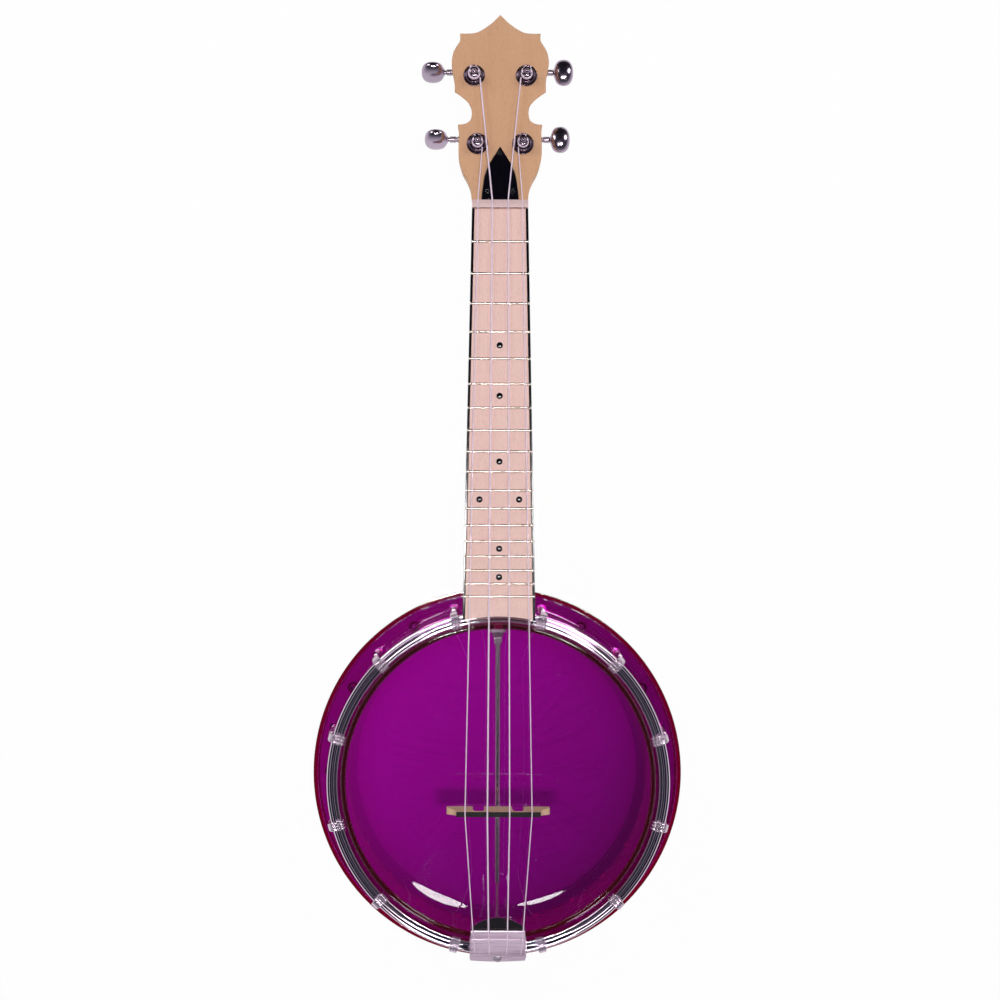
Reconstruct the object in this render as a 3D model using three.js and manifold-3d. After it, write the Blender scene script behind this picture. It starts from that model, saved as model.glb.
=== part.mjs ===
// A concert banjo ukulele with a see-through pot and resonator, in millimetres.
// The origin is the centre of the resonator's flat back. +Y runs along the neck to the peghead,
// and +Z runs out through the head to the strings.

import * as THREE from 'three';
import { mergeVertices } from 'three/addons/utils/BufferGeometryUtils.js';
import Module from 'manifold-3d';

// Clearances
const fit = 0.3; // between two pieces that meet
const overrun = 3; // how far a cutter runs past its work

// Scale
const scaleLength = 378.5; // twice the way from the nut to the twelfth fret
const saddleSetback = 2.5; // how far past that the saddle stands, so that fretted notes stay true
const saddleY = -18;

// Resonator bowl, lying on its back
const bowlWall = 2.4;
const bowlBack = 3;
const bowlDepth = 24.5; // up to the top of the flange
const bowlDishWidth = 27; // where the back curves up to the rim
const bowlDishHeight = 21;
const bossRadius = 3.6;
const bossInset = 8.3; // from the flange's edge
const bowlScrewAngles = [30, 60, 90, 120, 150, 210, 240, 270, 300, 330];
const bowlScrewRadius = 1.5;
const bowlScrewLength = 12;

// Pot rim with its flange
const potInnerRadius = 97;
const potWall = 3.8;
const potHeight = 36.2; // above the flange
const flangeThickness = 3;
const flangeMargin = 9.6; // outside the tension hoop
const bearingCrestHalfWidth = 0.5;
const bearingCrestDrop = 1.6;

// Head, flesh hoop and tension hoop
const filmThickness = 0.3;
const hoopClearance = 0.6; // round the head's collar
const hoopWidth = 6.7;
const hoopHeight = 11;
const hoopProud = 4.7; // above the head
const hoopShoulder = 0.5;
const hoopOuterLip = 2.2; // what stands to either side of the groove in its top
const hoopInnerLip = 1.1;
const hoopGrooveDepth = 1.6;
const hoopGrooveFlank = 0.8;
const fleshHoopWidth = 5.5;
const fleshHoopHeight = 4.4;
const ringSides = 48;

// Hooks and their nuts
const hookAngles = [15, 45, 75, 105, 135, 165, 195, 225, 255, 285, 315, 345];
const hookWidth = 5.8;
const hookPalmThickness = 3.7;
const hookPalmDrop = 8;
const hookTopThickness = 1.8;
const hookProngThickness = 1.5;
const hookProngDrop = 2.4;
const hookChamfer = 1.2;
const hookShankRadius = 1.8;
const hookShankEnd = 11; // its height over the resting face
const hookNutRadius = 3.7;
const hookNutHeight = 3.2;

// Coordinator rod and the neck bolt
const rodHeight = 32; // its axis over the resting face
const rodRadius = 2;
const rodThreadRadius = 1.5;
const rodThreadLength = 34.5;
const rodBlockWidth = 5.5;
const rodBlockLength = 5.7;
const rodBlockHeight = 7;
const rodNutRadius = 3.4;
const rodNutHeight = 3;
const rodEndStandout = 1.4;
const neckBoltRadius = 2.5;
const neckBoltGrip = 22; // how deep it sits in the heel
const neckNutRadius = 4.2;
const neckNutHeight = 2.2;
const neckWasherWidth = 11;
const neckWasherHeight = 10;
const neckWasherThickness = 3.6;

// Neck
const neckOverHoop = 0.2;
const neckDepth = 15;
const neckDepthAtHeel = 18;
const nutWidth = 35.4;
const boardEndWidth = 46;
const heelWidth = 40;
const heelClearance = 1.5; // over the flange
const heelLength = 16;
const heelSweep = 42; // from the pot to where the shaft begins
const volute = 17;

// Peghead
const pegheadTilt = 3;
const pegheadThickness = 12;
const pegheadLength = 119.9;
const pegheadHalfWidth = 30.9;

// Truss rod and its cover
const trussRodRadius = 2.6;
const trussChannelDepth = 7.2;
const trussRodStart = 134;
const trussPocketLength = 22; // beyond the nut
const trussNutLength = 8;
const coverThickness = 2;
const coverLength = 34.4;
const coverHalfWidth = 11.8;

// Fingerboard, binding and frets
const boardThickness = 4;
const boardOverHoop = 3.6;
const lastFretMargin = 8; // least board left beyond the last fret
const bindingWidth = 1.6;
const fretWidth = 2;
const fretHeight = 0.9;
const fretCrownFlat = 0.6;
const fretEndInset = 0.4;

// Nut
const nutThickness = 5.1;
const nutHeight = 2.1; // over the fingerboard

// Bridge
const bridgeHeight = 15.3;
const bridgeHalfLength = 32.7;
const bridgeFootThickness = 5;
const bridgeTopThickness = 2.8;
const bridgeSaddleHeight = 2.3;
const bridgeSaddleLength = 53;

// Tailpiece, its hanger and bolt
const tailpieceWidth = 34.4;
const tailpieceThickness = 1.6;
const tailpieceRearReach = 1.1; // short of the hoop's outer edge
const tailpieceFlatLength = 16;
const tailpieceLipReach = 6.2;
const tailpieceLipDrop = 5;
const tailpieceArch = 5.6;
const tailpieceRearRoll = 0.8;
const stringNotchDepth = 2;
const hangerThickness = 1.6;
const hangerWidth = 35.6;
const hangerLegLength = 11;
const hangerWebThickness = 1.1;
const hangerLedgeDrop = 5.7; // from the hoop's top to the ledge's top
const hangerLedgeReach = 5.6;
const tailBoltHeadRadius = 2.8;
const tailBoltHeadHeight = 2;

// Tuning machines, in the peghead's own frame: z is up from its face
const upperPostX = 16.6;
const upperPostReach = 80.5;
const lowerPostX = 14.4;
const lowerPostReach = 36.6;
const tunerPlaces = [
  { side: -1, x: upperPostX, reach: upperPostReach, turn: 75 },
  { side: 1, x: upperPostX, reach: upperPostReach, turn: 0 },
  { side: -1, x: lowerPostX, reach: lowerPostReach, turn: 75 },
  { side: 1, x: lowerPostX, reach: lowerPostReach, turn: 0 },
];
const postRadius = 3;
const postWaistRadius = 2.6;
const postTipRadius = 1.9;
const postWaistHeight = 5.8;
const postHeadHeight = 2.2;
const postHoleRadius = 0.85;
const postJournalRadius = 1.5;
const postGearSeatRadius = 2.4;
const washerRadius = 6.8;
const washerThickness = 0.8;
const bushingHexRadius = 5.6;
const bushingHexHeight = 1.8;
const bushingSleeveRadius = 4.1;
const bushingSleeveLength = 7;
const coverPlateThickness = 1;
const housingWall = 1.5;
const wormPitch = 2.2;
const gearTeeth = 14;
const gearThickness = 4;
const gearToothHeight = 1.2;
const gearToothRootWidth = 1;
const gearToothTipWidth = 0.4;
const wormMeanRadius = 2.5;
const wormThreadHeight = 1.2;
const wormLength = 6.6;
const wormJournalRadius = 1.5;
const wormJournalLength = 2;
const shaftRadius = 2;
const stemRadius = 2.75;
const buttonStart = 18; // from the post's axis
const buttonLength = 12.6;
const buttonHalfHeight = 8.5;
const buttonHalfThickness = 4.4;
const buttonBoreDepth = 6;
const shaftTipRadius = 1.4;
const earRadius = 3;

// Strings. Each spread is from the first string to the last, and the pair between has its share.
const firstStringDiameter = 0.72;
const secondStringDiameter = 1.02;
const thirdStringDiameter = 0.86;
const fourthStringDiameter = 0.68;
const bridgeSpreadWidth = 42;
const nutSpreadWidth = 28;
const lipSpreadWidth = 31.8;
const rearSpreadWidth = 29;
const outerPairShare = { bridge: 1, nut: 1, lip: 1, rear: 1 };
const innerPairShare = { bridge: 0.333, nut: 0.357, lip: 0.377, rear: 0.379 };
const stringHookLength = 1.7; // how far a string turns down behind the tailpiece
const windingPitch = 1.65;
const windingLoops = 2;
const windingTailLength = 1.5;
const stringSweepClearance = 2.9; // from the winding to the still string

const wasm = await Module();
wasm.setup();

const radians = THREE.MathUtils.degToRad;

// A geometry's signed volume, negative where its faces point inwards
function volumeOf(geometry) {
  const p = geometry.attributes.position;
  const corners = [0, 1, 2].map(() => new THREE.Vector3());
  let sum = 0;
  for (let i = 0; i < geometry.index.count; i += 3) {
    corners.forEach((corner, n) => corner.fromBufferAttribute(p, geometry.index.getX(i + n)));
    sum += corners[0].dot(corners[1].clone().cross(corners[2])) / 6;
  }
  return sum;
}

// Keeps only the positions, shares the vertices that coincide and turns the faces outwards
function bare(geometry) {
  const loose = geometry.index ? geometry.toNonIndexed() : geometry;
  const plain = new THREE.BufferGeometry();
  plain.setAttribute('position', loose.getAttribute('position').clone());
  const merged = mergeVertices(plain);
  const index = [];
  for (let i = 0; i < merged.index.count; i += 3) {
    const [a, b, c] = [0, 1, 2].map((n) => merged.index.getX(i + n));
    if (a !== b && b !== c && c !== a) index.push(a, b, c);
  }
  merged.setIndex(index);
  if (volumeOf(merged) < 0) {
    for (let i = 0; i < index.length; i += 3) [index[i + 1], index[i + 2]] = [index[i + 2], index[i + 1]];
    merged.setIndex(index);
  }
  return merged;
}

function solidOf(geometry) {
  const plain = bare(geometry);
  const mesh = new wasm.Mesh({
    numProp: 3,
    vertProperties: plain.attributes.position.array,
    triVerts: new Uint32Array(plain.index.array),
  });
  return new wasm.Manifold(mesh);
}

function geometryOf(solid) {
  const mesh = solid.getMesh();
  const geometry = new THREE.BufferGeometry();
  geometry.setAttribute('position', new THREE.BufferAttribute(mesh.vertProperties, 3));
  geometry.setIndex(Array.from(mesh.triVerts));
  return geometry;
}

function join(first, ...others) {
  return geometryOf(others.reduce((sum, other) => sum.add(solidOf(other)), solidOf(first)));
}

function cut(first, ...cutters) {
  return geometryOf(cutters.reduce((rest, cutter) => rest.subtract(solidOf(cutter)), solidOf(first)));
}

function common(first, second) {
  return geometryOf(solidOf(first).intersect(solidOf(second)));
}

function moved(geometry, x, y, z = 0) {
  return geometry.clone().translate(x, y, z);
}

// Copies round the pot, at angles counted clockwise from the neck
function aroundPot(angles, geometry) {
  return angles.map((angle) => geometry.clone().rotateZ(-radians(angle)));
}

// The same shape on the other side of the neck
function mirrored(geometry) {
  return bare(geometry.clone().scale(-1, 1, 1));
}

// Round bar along Z
function bar(radius, from, to, sides = 12) {
  return new THREE.CylinderGeometry(radius, radius, to - from, sides)
    .rotateX(Math.PI / 2)
    .translate(0, 0, (from + to) / 2);
}

function barAlongY(radius, from, to, sides) {
  return bar(radius, -to, -from, sides).rotateX(Math.PI / 2);
}

function barAlongX(radius, from, to, sides) {
  return bar(radius, from, to, sides).rotateY(Math.PI / 2);
}

function block([x0, x1], [y0, y1], [z0, z1]) {
  return new THREE.BoxGeometry(x1 - x0, y1 - y0, z1 - z0)
    .translate((x0 + x1) / 2, (y0 + y1) / 2, (z0 + z1) / 2);
}

// Profile of [radius, z] points turned about Z
function turned(profile, sides) {
  const points = profile.map(([radius, z]) => new THREE.Vector2(radius, z));
  return new THREE.LatheGeometry(points, sides).rotateX(Math.PI / 2);
}

// The same for a ring, whose profile closes on itself
function turnedRing(profile, sides = ringSides) {
  return turned([...profile, profile[0]], sides);
}

function outline(points) {
  return new THREE.Shape(points.map(([x, y]) => new THREE.Vector2(x, y)));
}

// Flat shape in X and Y with thickness along Z
function slab(shape, from, to, curveSegments = 6) {
  return new THREE.ExtrudeGeometry(shape, { depth: to - from, bevelEnabled: false, curveSegments })
    .translate(0, 0, from);
}

// Profile in Y and Z with a width along X
function channel(points, width) {
  return slab(outline(points), -width / 2, width / 2).rotateY(Math.PI / 2).rotateX(Math.PI / 2);
}

function circleHole(x, y, radius) {
  return new THREE.Path().absarc(x, y, radius, 0, 2 * Math.PI, true);
}

// Closed body through rings of equally many points
function loft(rings) {
  const count = rings[0].length;
  const index = [];
  for (let r = 0; r + 1 < rings.length; r += 1) {
    for (let i = 0; i < count; i += 1) {
      const a = r * count + i;
      const b = r * count + ((i + 1) % count);
      index.push(a, b, b + count, a, b + count, a + count);
    }
  }
  capOf(rings[0]).forEach(([a, b, c]) => index.push(c, b, a));
  const last = (rings.length - 1) * count;
  capOf(rings[rings.length - 1]).forEach(([a, b, c]) => index.push(last + a, last + b, last + c));
  const geometry = new THREE.BufferGeometry().setFromPoints(rings.flat());
  geometry.setIndex(index);
  return geometry;
}

// Triangles that close one ring, seen from the side where it runs anticlockwise
function capOf(ring) {
  const normal = new THREE.Vector3();
  ring.forEach((point, i) => normal.add(point.clone().cross(ring[(i + 1) % ring.length])));
  normal.normalize();
  const u = ring[1].clone().sub(ring[0]).normalize();
  const v = normal.clone().cross(u);
  const flat = ring.map((point) => new THREE.Vector2(point.dot(u), point.dot(v)));
  return THREE.ShapeUtils.triangulateShape(flat, []);
}

// Round cord through points, with flat ends square to its run
function cord(points, radius, sides = 6) {
  const tangents = points.map((point, i) => {
    const before = points[Math.max(i - 1, 0)];
    const after = points[Math.min(i + 1, points.length - 1)];
    return after.clone().sub(before).normalize();
  });
  const normal = new THREE.Vector3(0, 0, 1);
  if (Math.abs(normal.dot(tangents[0])) > Math.SQRT1_2) normal.set(1, 0, 0);
  const rings = points.map((point, i) => {
    normal.addScaledVector(tangents[i], -normal.dot(tangents[i])).normalize();
    const binormal = tangents[i].clone().cross(normal);
    return Array.from({ length: sides }, (_, n) => {
      const angle = (2 * Math.PI * n) / sides;
      return point.clone()
        .addScaledVector(normal, radius * Math.cos(angle))
        .addScaledVector(binormal, radius * Math.sin(angle));
    });
  });
  return loft(rings);
}

const finishes = {
  plastic: { color: 0x8e008a, roughness: 0.08, metalness: 0, transparent: true, opacity: 0.6 },
  film: { color: 0xf2eef4, roughness: 0.05, metalness: 0, transparent: true, opacity: 0.2 },
  chrome: { color: 0xb090ae, roughness: 0.12, metalness: 1 },
  steel: { color: 0x9a8c9c, roughness: 0.35, metalness: 1 },
  brushed: { color: 0xc8afc8, roughness: 0.3, metalness: 1 },
  neckMaple: { color: 0xdaaf8a, roughness: 0.5, metalness: 0 },
  boardMaple: { color: 0xf3d4cf, roughness: 0.5, metalness: 0 },
  ebony: { color: 0x3c2d3c, roughness: 0.5, metalness: 0 },
  blackPlastic: { color: 0x05050f, roughness: 0.2, metalness: 0 },
  bone: { color: 0xebd7d7, roughness: 0.35, metalness: 0 },
  nylon: { color: 0xe6dceb, roughness: 0.25, metalness: 0 },
};
for (const name of Object.keys(finishes)) finishes[name] = new THREE.MeshStandardMaterial(finishes[name]);

const instrument = new THREE.Group();
const peghead = new THREE.Group();

function add(name, geometry, finish, group = instrument) {
  const shape = bare(geometry);
  shape.computeVertexNormals();
  const mesh = new THREE.Mesh(shape, finishes[finish]);
  mesh.name = name;
  group.add(mesh);
}

// Heights over the resting face
const flangeTop = bowlDepth;
const flangeBottom = flangeTop - flangeThickness;
const bearingTop = flangeTop + potHeight;
const headTop = bearingTop + fit + filmThickness;
const hoopTop = headTop + hoopProud;
const hoopBottom = hoopTop - hoopHeight;
const fleshHoopTop = hoopBottom - fit;
const fleshHoopBottom = fleshHoopTop - fleshHoopHeight;
const neckTop = hoopTop + neckOverHoop;
const boardBottom = neckTop + fit;
const boardTop = boardBottom + boardThickness;
const nutTop = boardTop + nutHeight;

// Radii round the pot
const potOuterRadius = potInnerRadius + potWall;
const filmOuterRadius = potOuterRadius + fit + filmThickness;
const hoopInnerRadius = filmOuterRadius + hoopClearance;
const hoopOuterRadius = hoopInnerRadius + hoopWidth;
const flangeRadius = hoopOuterRadius + flangeMargin;
const bowlRadius = flangeRadius + fit + bowlWall;
const bossCircleRadius = flangeRadius - bossInset;
const boardEndRadius = hoopInnerRadius + boardOverHoop;
const hookCircleRadius = hoopOuterRadius + fit + hookPalmThickness / 2;
const tailBoltCircleRadius = hoopOuterRadius + fit + tailBoltHeadRadius;

// Places along the neck
const nutFrontY = saddleY + saddleSetback + scaleLength;
const nutBackY = nutFrontY + nutThickness;
const boardWidthSlope = (boardEndWidth - nutWidth) / (nutFrontY - boardEndRadius) / 2;
const boardHalfWidth = (y) => nutWidth / 2 + (nutFrontY - y) * boardWidthSlope;
const fretY = (number) => nutFrontY - scaleLength * (1 - 2 ** (-number / 12));
const leastFretLength = boardEndRadius + lastFretMargin - saddleY - saddleSetback;
const fretCount = Math.floor(12 * Math.log2(scaleLength / leastFretLength));

// Strings from left to right: how each one crosses the instrument and which machine winds it
function stringOf(diameter, side, pairShare, tuner) {
  return {
    diameter,
    tuner,
    bridgeX: (side * pairShare.bridge * bridgeSpreadWidth) / 2,
    nutX: (side * pairShare.nut * nutSpreadWidth) / 2,
    lipX: (side * pairShare.lip * lipSpreadWidth) / 2,
    rearX: (side * pairShare.rear * rearSpreadWidth) / 2,
  };
}
const strings = [
  stringOf(firstStringDiameter, -1, outerPairShare, 2),
  stringOf(secondStringDiameter, -1, innerPairShare, 0),
  stringOf(thirdStringDiameter, 1, innerPairShare, 1),
  stringOf(fourthStringDiameter, 1, outerPairShare, 3),
];

peghead.position.set(0, nutBackY, neckTop);
peghead.rotation.x = -radians(pegheadTilt);
peghead.updateMatrix();
instrument.add(peghead);

// Resonator bowl, with a boss for each of its screws

// Quarter of an ellipse from the flat back up to the rim
function dishArc(wallInset, backInset) {
  const steps = 6;
  return Array.from({ length: steps + 1 }, (_, i) => {
    const angle = (Math.PI / 2) * (i / steps);
    const centre = bowlRadius - bowlDishWidth;
    return [
      centre + (bowlDishWidth - wallInset) * Math.sin(angle),
      bowlDishHeight - (bowlDishHeight - backInset) * Math.cos(angle),
    ];
  });
}

function resonatorBowl() {
  const body = turned([[0, 0], ...dishArc(0, 0), [bowlRadius, bowlDepth], [0, bowlDepth]], ringSides);
  const hollow = turned([
    [0, bowlBack],
    ...dishArc(bowlWall, bowlBack),
    [bowlRadius - bowlWall, bowlDepth + overrun],
    [0, bowlDepth + overrun],
  ], ringSides);
  const boss = moved(bar(bossRadius, 0, flangeBottom - fit, 6), 0, bossCircleRadius);
  const pilotDepth = flangeTop - bowlScrewLength - fit;
  const pilot = moved(bar(bowlScrewRadius + fit, pilotDepth, flangeTop, 6), 0, bossCircleRadius);
  return cut(
    body,
    cut(hollow, ...aroundPot(bowlScrewAngles, boss)),
    ...aroundPot(bowlScrewAngles, pilot),
  );
}
add('resonator_bowl', resonatorBowl(), 'plastic');

// Pot rim: the drum's wall and the flange that the hooks pull on

function potRim() {
  const crest = (potInnerRadius + potOuterRadius) / 2;
  const ring = turnedRing([
    [potInnerRadius, flangeBottom],
    [potInnerRadius, bearingTop - bearingCrestDrop],
    [crest - bearingCrestHalfWidth, bearingTop],
    [crest + bearingCrestHalfWidth, bearingTop],
    [potOuterRadius, bearingTop - bearingCrestDrop],
    [potOuterRadius, flangeTop],
    [flangeRadius, flangeTop],
    [flangeRadius, flangeBottom],
  ]);
  const holeSpan = [flangeBottom - overrun, flangeTop + overrun];
  const hookHole = moved(bar(hookShankRadius + fit, ...holeSpan, 6), 0, hookCircleRadius);
  const screwHole = moved(bar(bowlScrewRadius + fit, ...holeSpan, 6), 0, bossCircleRadius);
  const wallSpan = [potInnerRadius - overrun, potOuterRadius + overrun];
  const tailHole = moved(bar(hookShankRadius + fit, ...holeSpan, 6), 0, -tailBoltCircleRadius);
  return cut(
    ring,
    tailHole,
    ...aroundPot(hookAngles, hookHole),
    ...aroundPot(bowlScrewAngles, screwHole),
    moved(barAlongY(neckBoltRadius + fit, ...wallSpan, 8), 0, 0, rodHeight),
    moved(barAlongY(rodThreadRadius + fit, ...wallSpan, 8), 0, 0, rodHeight).rotateZ(Math.PI),
  );
}
add('pot_rim', potRim(), 'plastic');

// Head: a clear film over the bearing edge, with a collar down to its flesh hoop

function drumHead() {
  const crest = (potInnerRadius + potOuterRadius) / 2 + bearingCrestHalfWidth;
  const collarTop = bearingTop - bearingCrestDrop;
  const collarBottom = fleshHoopBottom + fit;
  return turned([
    [0, headTop - filmThickness],
    [crest, headTop - filmThickness],
    [filmOuterRadius - filmThickness, collarTop],
    [filmOuterRadius - filmThickness, collarBottom],
    [filmOuterRadius, collarBottom],
    [filmOuterRadius, collarTop + filmThickness],
    [crest + filmThickness, headTop],
    [0, headTop],
  ], ringSides);
}
add('drum_head', drumHead(), 'film');

function fleshHoop() {
  const inner = filmOuterRadius + fit;
  const outer = inner + fleshHoopWidth;
  return turnedRing([
    [inner, fleshHoopBottom],
    [inner, fleshHoopTop],
    [outer, fleshHoopTop],
    [outer, fleshHoopBottom],
  ]);
}
add('flesh_hoop', fleshHoop(), 'steel');

function tensionHoop() {
  const grooveFloor = hoopTop - hoopGrooveDepth;
  const grooveInner = hoopInnerRadius + hoopInnerLip;
  const grooveOuter = hoopOuterRadius - hoopOuterLip;
  return turnedRing([
    [hoopInnerRadius, hoopBottom],
    [hoopInnerRadius, hoopTop - hoopShoulder],
    [hoopInnerRadius + hoopShoulder, hoopTop],
    [grooveInner, hoopTop],
    [grooveInner + hoopGrooveFlank, grooveFloor],
    [grooveOuter - hoopGrooveFlank, grooveFloor],
    [grooveOuter, hoopTop],
    [hoopOuterRadius - hoopShoulder, hoopTop],
    [hoopOuterRadius, hoopTop - hoopShoulder],
    [hoopOuterRadius, hoopBottom],
  ]);
}
add('tension_hoop', tensionHoop(), 'chrome');

// Hooks: a claw over the hoop and a threaded shank down through the flange to its nut

// Hexagon nut on its bolt, from its seat downwards
function nutBelow(seat, radius, height) {
  return bar(radius, seat - height, seat, 6);
}

const flangeNut = nutBelow(flangeBottom - fit, hookNutRadius, hookNutHeight);

function tensionHook() {
  const seat = hoopTop + fit;
  const top = seat + hookTopThickness;
  const palm = hoopOuterRadius + fit;
  const back = palm + hookPalmThickness;
  const prong = hoopInnerRadius - fit;
  const tip = prong - hookProngThickness;
  const claw = channel([
    [palm, seat - hookPalmDrop],
    [back, seat - hookPalmDrop],
    [back, seat],
    [back - hookChamfer, top],
    [tip + hookChamfer, top],
    [tip, top - hookChamfer],
    [tip, seat - hookProngDrop],
    [prong, seat - hookProngDrop],
    [prong, seat],
    [palm, seat],
  ], hookWidth);
  const shank = bar(hookShankRadius, hookShankEnd, seat - hookPalmDrop / 2, 6);
  return join(claw, moved(shank, 0, hookCircleRadius), moved(flangeNut, 0, hookCircleRadius));
}
aroundPot(hookAngles, tensionHook()).forEach((hook, i) => {
  add(`tension_hook_${String(i + 1).padStart(2, '0')}`, hook, 'chrome');
});

// Neck bolt with its plate washer and nut inside the pot

const washerFace = potInnerRadius - (neckWasherWidth / 2) * Math.tan(Math.PI / ringSides) - fit;
const neckNutFace = washerFace - neckWasherThickness - fit;
const neckBoltEnd = neckNutFace - neckNutHeight;

function alongNeck(geometry, y) {
  return geometry.clone().rotateX(Math.PI / 2).translate(0, y, rodHeight);
}

const neckBoltTip = potOuterRadius + neckBoltGrip;
add('neck_bolt', join(
  moved(barAlongY(neckBoltRadius, neckBoltEnd, neckBoltTip, 10), 0, 0, rodHeight),
  alongNeck(nutBelow(neckNutHeight, neckNutRadius, neckNutHeight), neckNutFace),
), 'steel');

function neckWasher() {
  const [w, h] = [neckWasherWidth / 2, neckWasherHeight / 2];
  const face = outline([[-w, -h], [w, -h], [w, h], [-w, h]]);
  face.holes.push(circleHole(0, 0, neckBoltRadius + fit));
  return alongNeck(slab(face, 0, neckWasherThickness), washerFace);
}
add('neck_washer', neckWasher(), 'brushed');

// Coordinator rod from the neck bolt to the tail, with a nut on each side of the wall there

const rodBlockFace = neckBoltEnd - fit;
const rodEnd = -(potOuterRadius + fit + rodNutHeight + rodEndStandout);

function coordinatorRod() {
  const half = rodBlockWidth / 2;
  const centre = rodBlockFace - rodBlockLength + half;
  const plan = new THREE.Shape()
    .moveTo(half, rodBlockFace)
    .lineTo(-half, rodBlockFace)
    .lineTo(-half, centre)
    .absarc(0, centre, half, Math.PI, 2 * Math.PI, false);
  const thread = rodEnd + rodThreadLength;
  const nut = nutBelow(rodNutHeight, rodNutRadius, rodNutHeight);
  return join(
    slab(plan, rodHeight - rodBlockHeight / 2, rodHeight + rodBlockHeight / 2),
    moved(barAlongY(rodRadius, thread, centre, 10), 0, 0, rodHeight),
    moved(barAlongY(rodThreadRadius, rodEnd, thread + fit, 8), 0, 0, rodHeight),
    alongNeck(nut, -potInnerRadius + fit + rodNutHeight),
    alongNeck(nut, -potOuterRadius - fit),
  );
}
add('coordinator_rod', coordinatorRod(), 'chrome');

// Neck: heel, shaft and tilted peghead of one piece

// Section of the neck: flat on top, and from full to round below
function neckSection(y, top, halfWidth, depth, fullness) {
  const steps = 12;
  return Array.from({ length: steps + 1 }, (_, i) => {
    const angle = Math.PI * (i / steps);
    const across = Math.cos(angle);
    const down = Math.sin(angle);
    return new THREE.Vector3(
      halfWidth * Math.sign(across) * Math.abs(across) ** fullness,
      y,
      top - depth * down ** fullness,
    );
  });
}

// How the heel turns into the shaft: places along its sweep, and depth left of the heel's
const heelSweepShares = [[0, 1], [0.16, 0.93], [0.38, 0.62], [0.62, 0.27], [0.82, 0.08], [1, 0]];
const fullHeel = 0.5;
const roundShaft = 0.85;

function neckShaft() {
  const heelStart = potOuterRadius;
  const heelDepth = neckTop - flangeTop - heelClearance;
  const depthAt = (y) => {
    const share = (nutFrontY - y) / (nutFrontY - heelStart - heelSweep);
    return neckDepth + (neckDepthAtHeel - neckDepth) * share;
  };
  const rings = [neckSection(heelStart - overrun, neckTop, heelWidth / 2, heelDepth, fullHeel)];
  for (const [along, left] of heelSweepShares) {
    const y = heelStart + heelLength + along * (heelSweep - heelLength);
    const depth = depthAt(y) + (heelDepth - depthAt(y)) * left;
    const halfWidth = boardHalfWidth(y) + (heelWidth / 2 - boardHalfWidth(y)) * left;
    rings.push(neckSection(y, neckTop, halfWidth, depth, roundShaft + (fullHeel - roundShaft) * left));
  }
  rings.push(neckSection(nutBackY, neckTop, nutWidth / 2, neckDepth, roundShaft));
  const fall = volute * Math.tan(radians(pegheadTilt)) + fit;
  const inside = pegheadThickness - fit - fit;
  rings.push(neckSection(nutBackY + volute, neckTop - fall, nutWidth / 2 - fit, inside, roundShaft));
  return loft(rings);
}

// Right half of the peghead's outline, from the tip down to the nut. Each run lists the shares
// of the half width and of the length that a smooth curve goes through, between two corners.
const pegheadRunShares = [
  [[0, 1], [0.2, 0.95], [0.43, 0.911], [0.59, 0.9], [0.83, 0.899]],
  [
    [0.83, 0.899], [0.828, 0.862], [0.89, 0.834], [0.966, 0.797], [1, 0.744], [0.979, 0.7], [0.94, 0.64],
    [0.937, 0.583],
  ],
  [
    [0.937, 0.583], [0.8, 0.558], [0.69, 0.531], [0.605, 0.5], [0.585, 0.469], [0.64, 0.437], [0.75, 0.416],
    [0.869, 0.409],
  ],
  [
    [0.869, 0.409], [0.846, 0.37], [0.853, 0.31], [0.848, 0.235], [0.775, 0.163], [0.67, 0.113], [0.602, 0.067],
    [0.573, 0.009],
  ],
];

function pegheadOutline() {
  const runs = pegheadRunShares.map((run) => {
    const curve = new THREE.SplineCurve(run.map(([x, y]) => (
      new THREE.Vector2(x * pegheadHalfWidth, y * pegheadLength)
    )));
    return curve.getPoints(8).slice(0, -1);
  });
  const right = [...runs.flat(), new THREE.Vector2(nutWidth / 2, 0)];
  const left = right.slice(1).reverse().map((point) => new THREE.Vector2(-point.x, point.y));
  return new THREE.Shape([...right, ...left].reverse());
}

const bushingHoleRadius = bushingSleeveRadius + fit;

function pegheadSlab() {
  const shape = pegheadOutline();
  for (const place of tunerPlaces) {
    shape.holes.push(circleHole(place.side * place.x, place.reach, bushingHoleRadius));
  }
  return slab(shape, -pegheadThickness, 0);
}

// Stack of a tuning machine, down from the peghead's back
const plateTop = -pegheadThickness - fit;
const plateBottom = plateTop - coverPlateThickness;
const housingTop = plateBottom;
const gearTop = housingTop - fit - housingWall;
const wormZ = gearTop - gearThickness / 2;
const cavityFloor = gearTop - gearThickness - fit * 4;
const housingBottom = cavityFloor - housingWall;
const gearPitchRadius = (gearTeeth * wormPitch) / (2 * Math.PI);
const wormY = gearPitchRadius + wormMeanRadius + fit / 3;
const gearTipRadius = gearPitchRadius + fit;
const gearRootRadius = gearTipRadius - gearToothHeight;
const wormTipRadius = wormMeanRadius + wormThreadHeight / 2;

// Half the housing's width across the post
function housingReach() {
  return gearTipRadius + fit * 2 + housingWall;
}

// Cover over the truss rod's nut: a bell between the nut and its tip
const coverShares = [[1, 0], [0.93, 0.24], [0.813, 0.475], [0.551, 0.694], [0.25, 0.88], [0, 1]];

function trussRodCover() {
  const right = coverShares.map(([x, y]) => [x * coverHalfWidth, y * (coverLength - fit) + fit]);
  const left = right.slice(0, -1).reverse().map(([x, y]) => [-x, y]);
  return slab(outline([...right, ...left]), fit, fit + coverThickness);
}

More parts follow.
